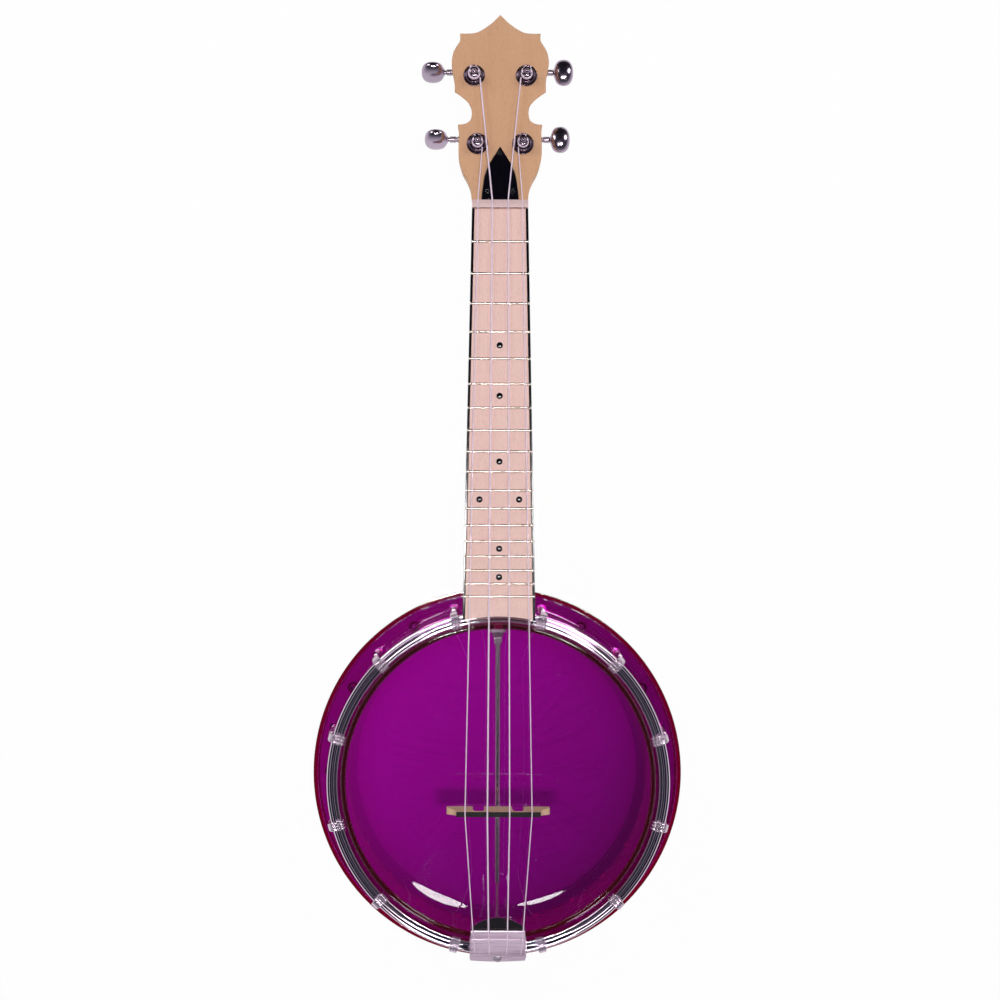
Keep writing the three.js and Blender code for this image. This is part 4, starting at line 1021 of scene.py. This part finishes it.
def make_neck():
    outline = peghead_outline()
    lower = undercut(outline, peghead_undercut)
    head = lofted('peghead', [
        [(*point, z) for point in (drawn_in(edge, inset) if inset else edge)]
        for z, edge, inset in (
            (-peghead_thickness, lower, peghead_edge), (peghead_edge - peghead_thickness, lower, 0),
            (-peghead_edge, outline, 0), (0, outline, peghead_edge))])
    apply_modifier(head, 'TRIANGULATE')
    holes = [bar('hole', sleeve_radius + fit, -peghead_thickness - 1, 1, (side * x, y))
             for side, x, y in post_places]
    combined(head, [joined('holes', holes)])
    moved(head, peghead_place)
    neck = make_shaft()
    combined(neck, [head], 'UNION')
    step = node_box('flesh_hoop')[0].z - fit
    pot_space = turned('pot_space', [
        (0, flange_top), (pot_outer + fit, flange_top), (pot_outer + fit, step), (hoop_outer + fit, step),
        (hoop_outer + fit, neck_top + overrun), (0, neck_top + overrun)], 192)
    half, pocket_end = truss_radius + fit, nut_back + truss_pocket
    channel = plate('channel', rounded([
        (-half, truss_start - fit, 0), (half, truss_start - fit, 0), (half, pocket_end, 2),
        (-half, pocket_end, 2)]), neck_top - truss_depth, neck_top + overrun)
    ends = (pot_outer - overrun, bolt_high.y + fit)
    bolt_hole = bar_along_y('bolt_hole', neck_bolt_radius + fit, *ends, 0, rod_height)
    combined(neck, [pot_space, channel, bolt_hole])
    finished(neck, neck_wood, replaced=['neck'], angle=35)


def make_truss_rod():
    height = neck_top - truss_depth + truss_radius + fit
    end = nut_back + truss_pocket - 3
    nut = moved(hexagon('truss_nut', truss_radius, end - 8, end, 1.3), lay_along_y)
    shaft = moved(turned('shaft', [
        (0, truss_start), (truss_radius * 0.8, truss_start), (truss_radius * 0.9, truss_start + 0.5),
        (truss_radius * 0.9, end - 7), (0, end - 7)], 24), lay_along_y)
    finished(shifted(joined('neck_rod', [shaft, nut]), 0, 0, height), steel, replaced=['truss_rod'], angle=40)


make_neck()
make_truss_rod()

cover_length = 34.4
cover_half_width = 11.8
cover_thickness = 2
cover_side_shares = [(1, 0), (0.975, 0.12), (0.93, 0.24), (0.813, 0.475), (0.551, 0.694)]
cover_screw_shares = [(0, 0.865), (-0.68, 0.155), (0.68, 0.155)]
# The head of a cover screw: radius, and height over the cover's face
cover_screw_rise = 0.6
cover_screw_profile = [(0, -0.35), (1.6, -0.35), (1.55, 0.2), (0.9, 0.55), (0, cover_screw_rise)]


def make_cover():
    side = [(x * cover_half_width, y * (cover_length - fit) + fit) for x, y in through(cover_side_shares, 6)]
    outline = side + [(0, cover_length)] + [(-x, y) for x, y in side[::-1]]
    cover = plate('truss_cover', outline, fit, fit + cover_thickness)
    bevelled(cover, 0.35, 3)
    heads = []
    for x, y in cover_screw_shares:
        place = (x * cover_half_width, y * cover_length)
        combined(cover, [bar('hole', 1.75, cover_thickness - 0.4, 5, place)])
        head = turned('cover_screw', [(r, cover_thickness + rise) for r, rise in cover_screw_profile], 28)
        combined(head, [cross_recess(0, 0, cover_thickness + cover_screw_rise, 0.95, 0.4, 0.35)])
        heads.append(shifted(head, *place))
    finished(moved(cover, peghead_place), black, replaced=['truss_rod_cover'])
    finished(moved(joined('cover_screws', heads), peghead_place), black)


make_cover()


# Fingerboard, binding, frets and dots

binding_width = 1.6
board_front = nut_front - fit
fret_width = 1.7
fret_height = 0.9
fret_inset = 0.15
fret_slope = 0.7  # how far its end leans in at the crown
fret_count = floor(12 * log2(scale_length / (board_end_radius + 8 - saddle_y - saddle_setback)))
dot_radius = 2
dots = [(5, 0), (7, 0), (10, 0), (12, -12.5), (12, 12.5), (15, 0), (17, 0)]


def fret_place(number):
    return nut_front - scale_length * (1 - 2 ** (-number / 12))


def board_end(x):
    """Where the board's curved end lies."""
    return sqrt(board_end_radius ** 2 - x ** 2)


def board_plan(inset, steps=24):
    reach = board_end_width / 2 - inset
    end = [(x, board_end(x)) for x in (reach * (2 * i / steps - 1) for i in range(steps + 1))]
    front = half_board(board_front) - inset
    return end + [(front, board_front), (-front, board_front)]


def make_board():
    board = plate('maple_board', board_plan(binding_width + 0.05), board_bottom, board_top)
    bevelled(board, 0.15, 2, 60)
    finished(board, board_wood, replaced=['fingerboard'])
    for side, name in ((-1, 'left'), (1, 'right')):
        outer, front = board_end_width / 2, half_board(board_front)
        inner = outer - binding_width
        strip = plate(name + '_edging', [(side * x, y) for x, y in (
            (outer, board_end(outer)), (front, board_front), (front - binding_width, board_front),
            (inner, board_end(inner)))], board_bottom, board_top)
        bevelled(strip, 0.25, 3, 60)
        finished(strip, black, replaced=['binding_' + name])
    for index, (number, x) in enumerate(dots, 1):
        y = (fret_place(number) + fret_place(number - 1)) / 2
        dot = turned(f'dot_{index}', [
            (0, -0.4), (dot_radius, -0.4), (dot_radius, 0), (dot_radius - 0.1, 0.05), (0, 0.07)], 40)
        finished(shifted(dot, x, y, board_top), black)


def make_frets():
    for number in range(1, fret_count + 1):
        y = fret_place(number)
        crown = [(y + fret_width / 2 * cos(radians(a)), board_top + fret_height * sin(radians(a)) ** 0.8)
                 for a in range(0, 181, 15)]
        wire = across(f'fret_{number:02d}', crown, 2 * (half_board(y) - fret_inset))
        for vertex in wire.data.vertices:
            lift = (vertex.co.z - board_top) / fret_height
            vertex.co.x -= copysign(fret_slope * lift ** 2, vertex.co.x)
        finished(wire, fret_metal, angle=50)


make_board()
make_frets()


# Nut, bridge and saddle

# Diameter, places across at the bridge, the nut, the tailpiece's lip and its rear, and the machine
strings = [
    (0.72, -21, -14, -15.9, -14.5, 2),
    (1.02, -6.993, -4.998, -5.994, -5.496, 0),
    (0.86, 6.993, 4.998, 5.994, 5.496, 1),
    (0.68, 21, 14, 15.9, 14.5, 3),
]
nut_top = nut_box[1].z
nut_height = 2.1
bridge_low, bridge_high = node_box('bridge')
bridge_top = node_box('bridge_saddle')[1].z
bridge_foot = 5
bridge_crest = 2.8
saddle_height = 2.3
saddle_length = 53
# Right half of the bridge from the neck's side: shares of its half length and of the wood's height
bridge_arch_shares = [(0.272, 0), (0.275, 0.56), (0.305, 0.77), (0.35, 0.82), (0.415, 0.82), (0.46, 0.77),
                      (0.489, 0.56), (0.492, 0)]
bridge_end_shares = [(1, 0), (1, 0.2), (0.97, 0.32), (0.93, 0.42), (0.88, 0.53), (0.84, 0.66),
                     (0.815, 0.82), (0.81, 1)]


def make_nut():
    body = across('nut', [
        (nut_front, board_bottom), (nut_back, board_bottom), (nut_back, nut_top - nut_height / 2),
        (nut_front + nut_height * 1.4, nut_top - 0.15), (nut_front + nut_height, nut_top),
        (nut_front, nut_top)], nut_width)
    bevelled(body, 0.4, 3, 25)
    slots = []
    for diameter, _, x, *_ in strings:
        half = diameter / 2 + 0.12
        slots.append(plate('slot', rectangle(x - half, x + half, nut_front - 2, nut_back + 2),
                           nut_top - half, nut_top + 2))
    combined(body, [joined('slots', slots)])
    finished(body, bone, replaced=['string_nut'])


def make_bridge():
    length, height = bridge_high.x, bridge_high.z - bridge_low.z
    right = [(x * length, z * height) for x, z in [*through(bridge_arch_shares, 3), *bridge_end_shares]]
    outline = right + [(-x, z) for x, z in right[::-1]]
    wood_part = plate('maple_bridge', outline, -bridge_foot / 2, bridge_foot / 2)
    moved(wood_part, Matrix.Rotation(pi / 2, 4, 'X'))
    sliced(wood_part, 'Z', [share * height for share in (0.25, 0.5, 0.75)])
    for vertex in wood_part.data.vertices:
        share = vertex.co.z / height
        vertex.co.y *= 1 - (max(share, 0) ** 0.8) * (1 - bridge_crest / bridge_foot)
    bevelled(wood_part, 0.3, 2, 40)
    finished(shifted(wood_part, 0, saddle_y, bridge_low.z), bridge_wood, replaced=['bridge'])
    half, deep = saddle_length / 2, bridge_crest / 2
    strip = plate('saddle', rectangle(-half, half, saddle_y - deep, saddle_y + deep),
                  bridge_top - saddle_height, bridge_top)
    bevelled(strip, 0.35, 3)
    notches = [bar_along_y('notch', diameter / 2 + 0.1, saddle_y - 3, saddle_y + 3, x, bridge_top, 16)
               for diameter, x, *_ in strings]
    combined(strip, [joined('notches', notches)])
    finished(strip, dark_wood, replaced=['bridge_saddle'])


make_nut()
make_bridge()


# Tailpiece, its hanger and bolt

tail_low, tail_high = node_box('tailpiece')
hanger_high = node_box('tailpiece_hanger')[1]
tail_thickness = 1.6
tail_bottom = hanger_high.z + fit
tail_top = tail_bottom + tail_thickness
tail_half = tail_high.x
tail_rear, tail_lip = tail_low.y, tail_high.y
tail_break = tail_rear + 16
tail_arch = 5.6
# Where the plate folds before its lip and bends down over it: distance at the middle, and more at the sides
tail_crease, crease_bow = 6, 1.6
tail_fold, fold_bow = 4, 2.6
fold_half_width = 1.6
fold_height = 0.3
tail_flare = 0.8  # how much of the rear edge bends down
bright_lip = 9
hanger_thickness = 1.6
hanger_half = hanger_high.x
ledge_top = hoop_top - 5.7
web_face = -(hoop_outer + fit)


def make_tailpiece():
    radius = (tail_half ** 2 + tail_arch ** 2) / (2 * tail_arch)
    spread = asin(tail_half / radius)
    angles = [spread - 2 * spread * i / 32 for i in range(33)]
    front = [(radius * sin(angle), tail_lip - radius + radius * cos(angle)) for angle in angles]
    metal_plate = plate('tail_plate', [(-tail_half, tail_rear), (tail_half, tail_rear), *front],
                        tail_bottom, tail_top)
    notches = []
    for diameter, _, _, _, x, _ in strings:
        left, right, deep = x - diameter / 2 - 0.2, x + diameter / 2 + 0.2, tail_rear + 1.6
        notches.append(plate('notch', [
            (left, tail_rear - 1), (right, tail_rear - 1), (right, deep), (x, tail_rear + 2), (left, deep)],
            tail_bottom - 1, tail_top + 1))
    combined(metal_plate, [joined('notches', notches)])
    bevelled(metal_plate, 0.35, 3, 50)
    bends = [tail_lip - 13 + i * 0.4 for i in range(28)]
    sliced(metal_plate, 'Y', [*bends, tail_rear + tail_flare / 2, tail_rear + tail_flare])
    for vertex in metal_plate.data.vertices:
        crease = tail_lip - tail_crease - crease_bow * (vertex.co.x / tail_half) ** 2
        fold = crease - tail_fold - fold_bow * (vertex.co.x / tail_half) ** 2
        past = max(vertex.co.y - crease, 0)
        vertex.co.z += fold_height * max(0, 1 - abs(vertex.co.y - fold) / fold_half_width)
        vertex.co.z -= min(past ** 2 * 0.5, past * 1.15 - 0.6 * min(past, 1))
        vertex.co.z -= max(tail_rear + tail_flare - vertex.co.y, 0) * 0.5
    finishes_by_face(metal_plate, (brushed, plated), lambda face:
                     face.center.y > tail_lip - bright_lip and face.normal.z < 0.86)
    finished(metal_plate, brushed, replaced=['tailpiece'], angle=35)


def make_hanger():
    leg_end = tail_rear + 11
    leg_bottom = hoop_top + fit
    top = leg_bottom + hanger_thickness
    ledge_bottom = ledge_top - hanger_thickness
    edge = web_face - 5.6
    web_back = web_face - 1.1
    bracket = across('hanger', rounded([
        (leg_end, leg_bottom, 0), (leg_end, top, 0.4), (web_back, top, 1), (web_back, ledge_top, 0.4),
        (edge - 2, ledge_top, 0), (edge - 2, ledge_bottom, 0), (web_face, ledge_bottom, 1),
        (web_face, leg_bottom, 0)]), 2 * hanger_half)
    bulge = [(x, edge + hanger_thickness * 0.5 * (x / hanger_half) ** 2) for x in
             (hanger_half * (2 * i / 24 - 1) * 0.97 for i in range(25))]
    plan = plate('plan', [
        (-hanger_half, leg_end + 1), (-hanger_half, edge + 2), *bulge, (hanger_half, edge + 2),
        (hanger_half, leg_end + 1)], ledge_top - 5, top + 2)
    combined(bracket, [plan], 'INTERSECT')
    combined(bracket, [bar('hole', hook_shank_radius + fit, ledge_top - 4, top, (0, -tail_bolt_circle)),
                       bar('seat', tail_bolt_radius + fit, ledge_top, top + 2, (0, -tail_bolt_circle))])
    bevelled(bracket, 0.25, 2, 45)
    finished(bracket, brushed, replaced=['tailpiece_hanger'])


def make_tail_bolt():
    seat = ledge_top + fit
    dome = [(tail_bolt_radius * cos(radians(a)), seat + 0.6 + 1.4 * sin(radians(a)))
            for a in range(0, 90, 10)]
    bolt = turned('tail_bolt', [
        *hook_thread(), (hook_shank_radius, seat), (tail_bolt_radius, seat), *dome, (0, seat + 2)], 40)
    combined(bolt, [cross_recess(0, 0, seat + 2, 1.9, 1.1, 0.7)])
    finished(shifted(joined('tail_bolt', [bolt, nut_under_flange()]), 0, -tail_bolt_circle), steel,
             replaced=['tailpiece_bolt'], angle=40)


make_tailpiece()
make_hanger()
make_tail_bolt()


# Tuning machines, drawn for the right side about the post's axis, with z up from the peghead's face

washer_radius = 6.8
washer_thickness = 0.8
bushing_radius = 5.6
bushing_height = 1.8
post_radius = 3
post_waist = 2.6
post_waist_height = 5.8
post_head = 2.2
post_tip = 1.9
journal_radius = 1.5
gear_teeth = 14
worm_pitch = 2.2
worm_mean = 2.5
thread_height = 1.2
gear_thickness = 4
housing_wall = 1.5
plate_top = -peghead_thickness - fit
plate_bottom = plate_top - 1
gear_top = plate_bottom - fit - housing_wall
worm_z = gear_top - gear_thickness / 2
cavity_floor = gear_top - gear_thickness - fit * 4
housing_bottom = cavity_floor - housing_wall
gear_pitch_radius = gear_teeth * worm_pitch / (2 * pi)
gear_tip = gear_pitch_radius + fit
gear_root = gear_tip - thread_height
worm_y = gear_pitch_radius + worm_mean + fit / 3
worm_tip = worm_mean + thread_height / 2
housing_half = gear_tip + fit * 2 + housing_wall
housing_end = worm_y + worm_tip + fit + housing_wall
worm_half = 3.3
shaft_radius = 2
shaft_tip_radius = 1.4
button_start = 18
button_length = 12.6
button_half_height = 8.5
button_half_thickness = 4.4
button_bore_depth = 6
button_seat_radius = 1.75
turned_angle = 64  # of the left buttons at rest
turned_stretch = 0.17  # by which they are longer
turned_out = 1  # by which they sit further out
ear_radius = 3
ear_y = -housing_half - ear_radius - fit
bushing_top = fit + washer_thickness + bushing_height
waist_bottom = bushing_top + fit
waist_top = waist_bottom + post_waist_height


def bushing():
    seat = fit + washer_thickness
    sleeve_end = seat - 7
    soft, bulge = 0.35, 1.1
    return turned('bushing', [
        (post_radius + fit, sleeve_end), (sleeve_radius, sleeve_end), (sleeve_radius, fit),
        (washer_radius - 0.2, fit), *arc((washer_radius - soft, seat - soft), soft, 0, 90, 3),
        (bushing_radius + 0.5, seat - 0.12), (bushing_radius, seat + 0.1),
        *arc((bushing_radius - bulge, seat + 0.7), bulge, -20, 75, 8), (bushing_radius - 1.5, bushing_top),
        (post_radius + 0.7, bushing_top), (post_radius + fit, bushing_top - 0.4)], 64, closed=True)


def post():
    top = waist_top + post_head
    foot, shoulder = housing_bottom + fit, cavity_floor + fit
    in_gear = 2.4
    return turned('post', [
        (0, foot), (journal_radius, foot), (journal_radius, shoulder), (in_gear, shoulder),
        (in_gear, gear_top + fit), (post_radius, gear_top + fit), (post_radius, waist_bottom),
        (post_waist, waist_bottom + fit), (post_waist, waist_top - fit), (post_radius, waist_top),
        (post_radius, top - 2.1), (post_radius - 0.25, top - 1.95), (post_tip + 0.1, top - 1.9),
        *arc((0, top - post_tip), post_tip, 0, 90, 8)], 48)


def gear():
    rings = []
    for layer in (-1, -0.5, 0, 0.5, 1):
        z = layer * gear_thickness / 2
        twist = z * worm_pitch / (2 * pi * worm_mean * gear_pitch_radius)
        ring = []
        for tooth in range(gear_teeth):
            middle = pi / 2 + 2 * pi * tooth / gear_teeth + twist
            for radius, offset in ((gear_root, -0.5), (gear_tip, -0.2), (gear_tip, 0.2), (gear_root, 0.5)):
                angle = middle + offset / radius
                ring.append((radius * cos(angle), radius * sin(angle), worm_z + z))
        rings.append(ring)
    return lofted('gear', rings)


def worm():
    sides, steps = 32, 60
    rings = []
    for i in range(steps + 1):
        x = -worm_half + 2 * worm_half * i / steps
        ring = []
        for n in range(sides):
            angle = 2 * pi * n / sides
            radius = worm_mean - thread_height / 2 * cos(2 * pi * x / worm_pitch - (angle - pi))
            ring.append((x, radius * cos(angle), radius * sin(angle)))
        rings.append(ring)
    thread = lofted('thread', rings)
    foot, shoulder = -worm_half - 2, -worm_half + 0.2
    seat, end = button_start - fit, button_start + button_bore_depth - fit
    neck = shaft_radius - 0.35
    shaft = turned('shaft', [
        (0, foot), (journal_radius, foot), (journal_radius, shoulder), (shaft_radius, shoulder),
        (shaft_radius, 12.6), (neck, 13), (neck, 13.6), (shaft_radius, 14),
        (shaft_radius, button_start - fit - 0.3), (shaft_radius - 0.3, seat), (shaft_tip_radius, seat),
        (shaft_tip_radius, end), (0, end)], 32)
    moved(shaft, lay_along_x)
    return shifted(joined('worm', [thread, shaft]), 0, worm_y, worm_z)


# Shares of the button's length, half height and half thickness
button_shares = [
    (0, 0.27, 0.5), (0.03, 0.3, 0.56), (0.06, 0.46, 0.66), (0.12, 0.68, 0.78), (0.2, 0.84, 0.88),
    (0.32, 0.95, 0.96), (0.46, 1, 1), (0.6, 1, 1), (0.74, 0.94, 0.95), (0.86, 0.8, 0.85),
    (0.95, 0.58, 0.68), (1, 0.3, 0.42),
]


def button(turn):
    sides = 48
    rings = []
    for along, high, thick in through(button_shares, 3):
        ring = []
        for n in range(sides):
            angle = 2 * pi * n / sides
            ring.append((button_start + along * button_length, high * button_half_height * cos(angle),
                         thick * button_half_thickness * sin(angle)))
        rings.append(ring)
    oval = lofted('button', rings)
    end = button_start + button_length
    bore_end = button_start + button_bore_depth
    combined(oval, [bar_along_x('bore', shaft_tip_radius + fit, button_start - 2, bore_end, 0, 0),
                    bar_along_x('seat', button_seat_radius, end - 0.5, end + 2, 0, 0)])
    head = shifted(moved(screw('button_screw', 0.9, 1.6, 0.6, 4), lay_along_x), end - 0.45)
    piece = joined('button', [oval, head])
    return shifted(moved(piece, Matrix.Rotation(radians(turn), 4, 'X')), 0, worm_y, worm_z)


def housing():
    half = housing_half
    box = plate('housing', rounded(rectangle(-half, half, -half, housing_end, 2.2), 6),
                housing_bottom, plate_bottom + 0.2)
    boss = bar_along_x('boss', 2.75, half - fit, half + housing_wall, worm_y, worm_z, 32)
    bevelled(box, 0.9, 4, 60)
    base = plate('base', [
        (-half, -half), (-ear_radius, -half), *arc((0, ear_y), ear_radius, 180, 360, 16), (ear_radius, -half),
        (half, -half), (half, housing_end), (-half, housing_end)], plate_bottom, plate_top)
    bevelled(base, 0.2, 2, 60)
    combined(box, [boss, base], 'UNION')
    room = worm_tip + fit
    inside = worm_half + fit
    rooms = [
        bar('gear_room', gear_tip + fit * 2, cavity_floor, plate_bottom - 0.2),
        plate('worm_room', rectangle(-inside, inside, 0, worm_y + room), worm_z - room, plate_bottom - 0.2),
        bar('post_hole', post_radius + fit, cavity_floor, plate_top + 1),
        bar('journal_hole', journal_radius + fit, housing_bottom - 1, cavity_floor + 1),
        bar_along_x('worm_hole', journal_radius + fit, -worm_half - 2 - fit, 0, worm_y, worm_z),
        bar_along_x('shaft_hole', shaft_radius + fit, 0, half + 4, worm_y, worm_z),
        bar('screw_hole', 1.3, plate_bottom - 1, plate_top + 1, (0, ear_y)),
    ]
    return combined(box, rooms)


def make_machines():
    longer = Matrix.Diagonal((1 + turned_stretch, 1, 1, 1))
    drawn = {'housing': housing(), 'bushing': bushing(), 'worm': worm(), 'upright_button': button(0),
             'turned_button': moved(button(turned_angle), longer)}
    shifted(drawn['turned_button'], turned_out - button_start * turned_stretch)
    mounting = moved(screw('mounting_screw', 1.1, 2, 0.9, 8), Matrix.Rotation(pi, 4, 'X'))
    drawn['screw'] = shifted(mounting, 0, ear_y, plate_bottom - 0.05)
    for number, (side, x, y) in enumerate(post_places, 1):
        place = peghead_place @ Matrix.Translation((side * x, y, 0)) @ Matrix.Diagonal((side, 1, 1, 1))

        def made(kind, name):
            return outwards(copied(drawn[kind], f'{name}_{number}', place))

        knob = f'knob_{number}'
        kind = 'turned_button' if side < 0 else 'upright_button'
        finished(made('housing', 'housing'), plated, replaced=[f'tuner_housing_{number}'])
        finished(made('bushing', 'bushing'), dark_plate, replaced=[f'tuner_bushing_{number}'], angle=40)
        finished(made('screw', 'mounting_screw'), plated, angle=40)
        finished(made('worm', 'worm'), steel, knob, [f'tuner_worm_{number}'], 40)
        finished(made(kind, 'button'), button_plate, knob, [f'tuner_button_{number}'], 40)
    for piece in drawn.values():
        bpy.data.objects.remove(piece, do_unlink=True)


make_machines()


# Strings, their windings and the posts that they go through

def behind_nut(diameter):
    """Height of a string where it leaves the nut's back."""
    return nut_top - nut_height / 2 + diameter / 2 + fit


def winding_run(diameter, nut_x, side, x, y):
    """The winding's points in the peghead's frame, where the string leaves it and the turn of its hole."""
    radius = post_waist + fit + diameter / 2
    lowest = waist_bottom + fit + max(string[0] for string in strings) / 2
    pitch, loops, steps = 1.65, 2, 36
    hole = lowest + pitch * loops + pitch / 2
    centre = Vector((side * x, y, 0))
    nut_point = peghead_place.inverted() @ Vector((nut_x, nut_back, behind_nut(diameter)))
    away = (nut_point - centre).to_2d()
    leave = atan2(away.y, away.x) - acos(radius / away.length) * side

    def on_circle(angle, z, reach=radius):
        return centre + Vector((reach * cos(angle), reach * sin(angle), z))

    coil = [on_circle(leave + side * 2 * pi * i / steps, lowest + pitch * i / steps)
            for i in range(steps * loops + 1)]
    turn = leave + side * (2 * pi * loops + pi / 3)
    outer = radius + diameter / 2
    tail = through([
        coil[-1], on_circle(turn - side * pi / 6, hole - pitch / 6, outer - fit / 2),
        on_circle(turn - side * pi / 14, hole - fit / 3, outer), on_circle(turn, hole, radius),
        on_circle(turn, hole, post_radius / 2), on_circle(turn + pi, hole, post_radius / 2),
        on_circle(turn + pi, hole, post_radius), on_circle(turn + pi, hole, post_radius + 1.5)], 4)
    direction = (nut_point - coil[0]).normalized()
    still = peghead_place @ (coil[0] + direction * 2.9)
    return [coil[0] + direction * diameter, *coil[:-1], *tail], still, turn, hole


def make_strings():
    column, wheel = post(), gear()
    for number, (diameter, bridge_x, nut_x, lip_x, rear_x, machine) in enumerate(strings, 1):
        side, x, y = post_places[machine]
        coil, still, turn, hole = winding_run(diameter, nut_x, side, x, y)
        body = f'post_{machine + 1}'
        winding = moved(strand(f'winding_{machine + 1}', coil, diameter / 2), peghead_place)
        finished(winding, nylon, body, [f'string_winding_{machine + 1}'], 60)
        drilled_post = copied(column, f'post_{machine + 1}')
        bore = bar_along_x('bore', 0.85, -post_radius - 1, post_radius + 1, 0, hole, 20)
        combined(drilled_post, [moved(bore, Matrix.Rotation(turn, 4, 'Z'))])
        place = peghead_place @ Matrix.Translation((side * x, y, 0))
        moved(drilled_post, place)
        toothed = outwards(copied(wheel, 'gear', place @ Matrix.Diagonal((side, 1, 1, 1))))
        finished(joined(f'post_{machine + 1}', [drilled_post, toothed]), post_plate, body,
                 [f'tuner_post_{machine + 1}'], 40)
        over = tail_top + fit + diameter / 2
        hook_y = tail_rear + diameter / 2 + fit
        route = [
            *through([(rear_x, hook_y, over - 1.7), (rear_x, hook_y, over - diameter / 2 - fit),
                      (rear_x, hook_y + diameter / 2, over)], 4),
            (lip_x, tail_break, over), (bridge_x, saddle_y, bridge_top), (nut_x, nut_front, nut_top),
            (nut_x, nut_back, behind_nut(diameter)), still,
        ]
        finished(strand(f'nylon_string_{number}', route, diameter / 2), nylon,
                 replaced=[f'string_{number}'], angle=60)
    for piece in (column, wheel):
        bpy.data.objects.remove(piece, do_unlink=True)


make_strings()


# Room

def make_floor():
    bpy.ops.mesh.primitive_plane_add(size=6)
    floor_piece = bpy.context.object
    floor_piece.name = 'floor'
    paper = Finish('paper', 'paper', Base_Color=grey(0.9), Roughness=0.9)
    path = paper.node('ShaderNodeLightPath')
    seen, mirrored, through_glass = (
        paper.out(path, f'Is {kind} Ray') for kind in ('Camera', 'Glossy', 'Transmission'))
    # Painted shade, seen through the plastic: the floor gives off little light below the bowl, less towards
    # its lower right, darker to the right below the flange, and a painted shadow lies right below the bridge.
    along_x, along_y = paper.along('X'), paper.along('Y')
    away = paper.out(paper.node('ShaderNodeVectorMath', {'operation': 'LENGTH'}, {0: paper.coordinates()}), 1)
    open_floor = paper.eased(away, 0.108, 0.121)
    painted_shade_slope = paper.sum('MAXIMUM', 0.25 - along_x * 1.0 + along_y * 0.9, 0.09)
    # Painted shade below the flange, darker to the right.
    rim = 0.37 - along_x * 0.6
    # A painted shadow of the bridge: a soft strip of floor right below it.
    bridge_shadow_across = paper.eased(paper.sum('ABSOLUTE', along_x, 0), 0.046, 0.034)
    below = paper.eased(paper.sum('ABSOLUTE', along_y + 0.021, 0), 0.009, 0.002)
    under = painted_shade_slope * (1 - bridge_shadow_across * below * 0.45) * (1 - open_floor) + open_floor * rim
    glow = paper.node('ShaderNodeEmission', None, {
        'Color': grey(1), 'Strength': paper.sum('MAXIMUM', 1 - through_glass, under)})
    share = paper.sum('MAXIMUM', seen * 0.97, paper.sum('MAXIMUM', mirrored * 0.9, through_glass))
    both = paper.node('ShaderNodeMixShader', None, {'Fac': share})
    paper.tree.links.new(paper.shader.outputs[0], both.inputs[1])
    paper.tree.links.new(glow.outputs[0], both.inputs[2])
    paper.tree.links.new(both.outputs[0], paper.output.inputs['Surface'])
    floor_piece.data.materials.append(paper.material)


def make_light(name, place, size, power, target=(0, 0.1, 0)):
    data = bpy.data.lights.new(name, 'AREA')
    data.shape = 'ELLIPSE'
    data.size, data.size_y = size
    data.energy = power
    lamp = bpy.data.objects.new(name, data)
    lamp.location = place
    lamp.rotation_euler = (Vector(target) - Vector(place)).to_track_quat('-Z', 'Y').to_euler()
    bpy.context.scene.collection.objects.link(lamp)


def make_world():
    """A dark ceiling, so that level faces shine dark, over walls that grow lighter down to the floor."""
    world = bpy.data.worlds.new('room')
    room = Shading(world)
    walls = room.ramp(room.along('Z', 'Generated'), [
        (0, (0.85, 0.85, 0.86, 1)), (0.3, (0.6, 0.6, 0.63, 1)), (0.6, (0.22, 0.22, 0.25, 1)),
        (0.8, (0.05, 0.05, 0.06, 1)), (0.93, (0.012, 0.012, 0.018, 1)), (1, (0.02, 0.02, 0.04, 1)),
    ])
    # The wall beyond the peghead is the darkest.
    beyond = 1 - room.eased(room.along('Y', 'Generated'), 0.2, 0.8) * 0.95
    walls = room.out(room.node('ShaderNodeVectorMath', {'operation': 'SCALE'}, {0: walls, 3: beyond}))
    seen = room.out(room.node('ShaderNodeLightPath'), 'Is Camera Ray')
    background = room.tree.nodes['Background']
    room.feed(background.inputs['Color'], room.mix(seen, walls, grey(1)))
    background.inputs['Strength'].default_value = 1
    bpy.context.scene.world = world


make_floor()
make_light('overhead_left', (-0.1, 0.12, 1.5), (0.14, 0.09), 4.8, (-0.1, 0.12, 0))
make_light('overhead_right', (0.21, 0.165, 1.5), (0.19, 0.18), 5, (0.21, 0.165, 0))
make_light('left_box', (-1.0, 1.1, 1.4), (0.6, 0.8), 7.5)
make_light('right_box', (1.0, 1.1, 1.4), (0.6, 0.8), 6)
make_world()
bpy.context.scene.view_settings.view_transform = 'Standard'
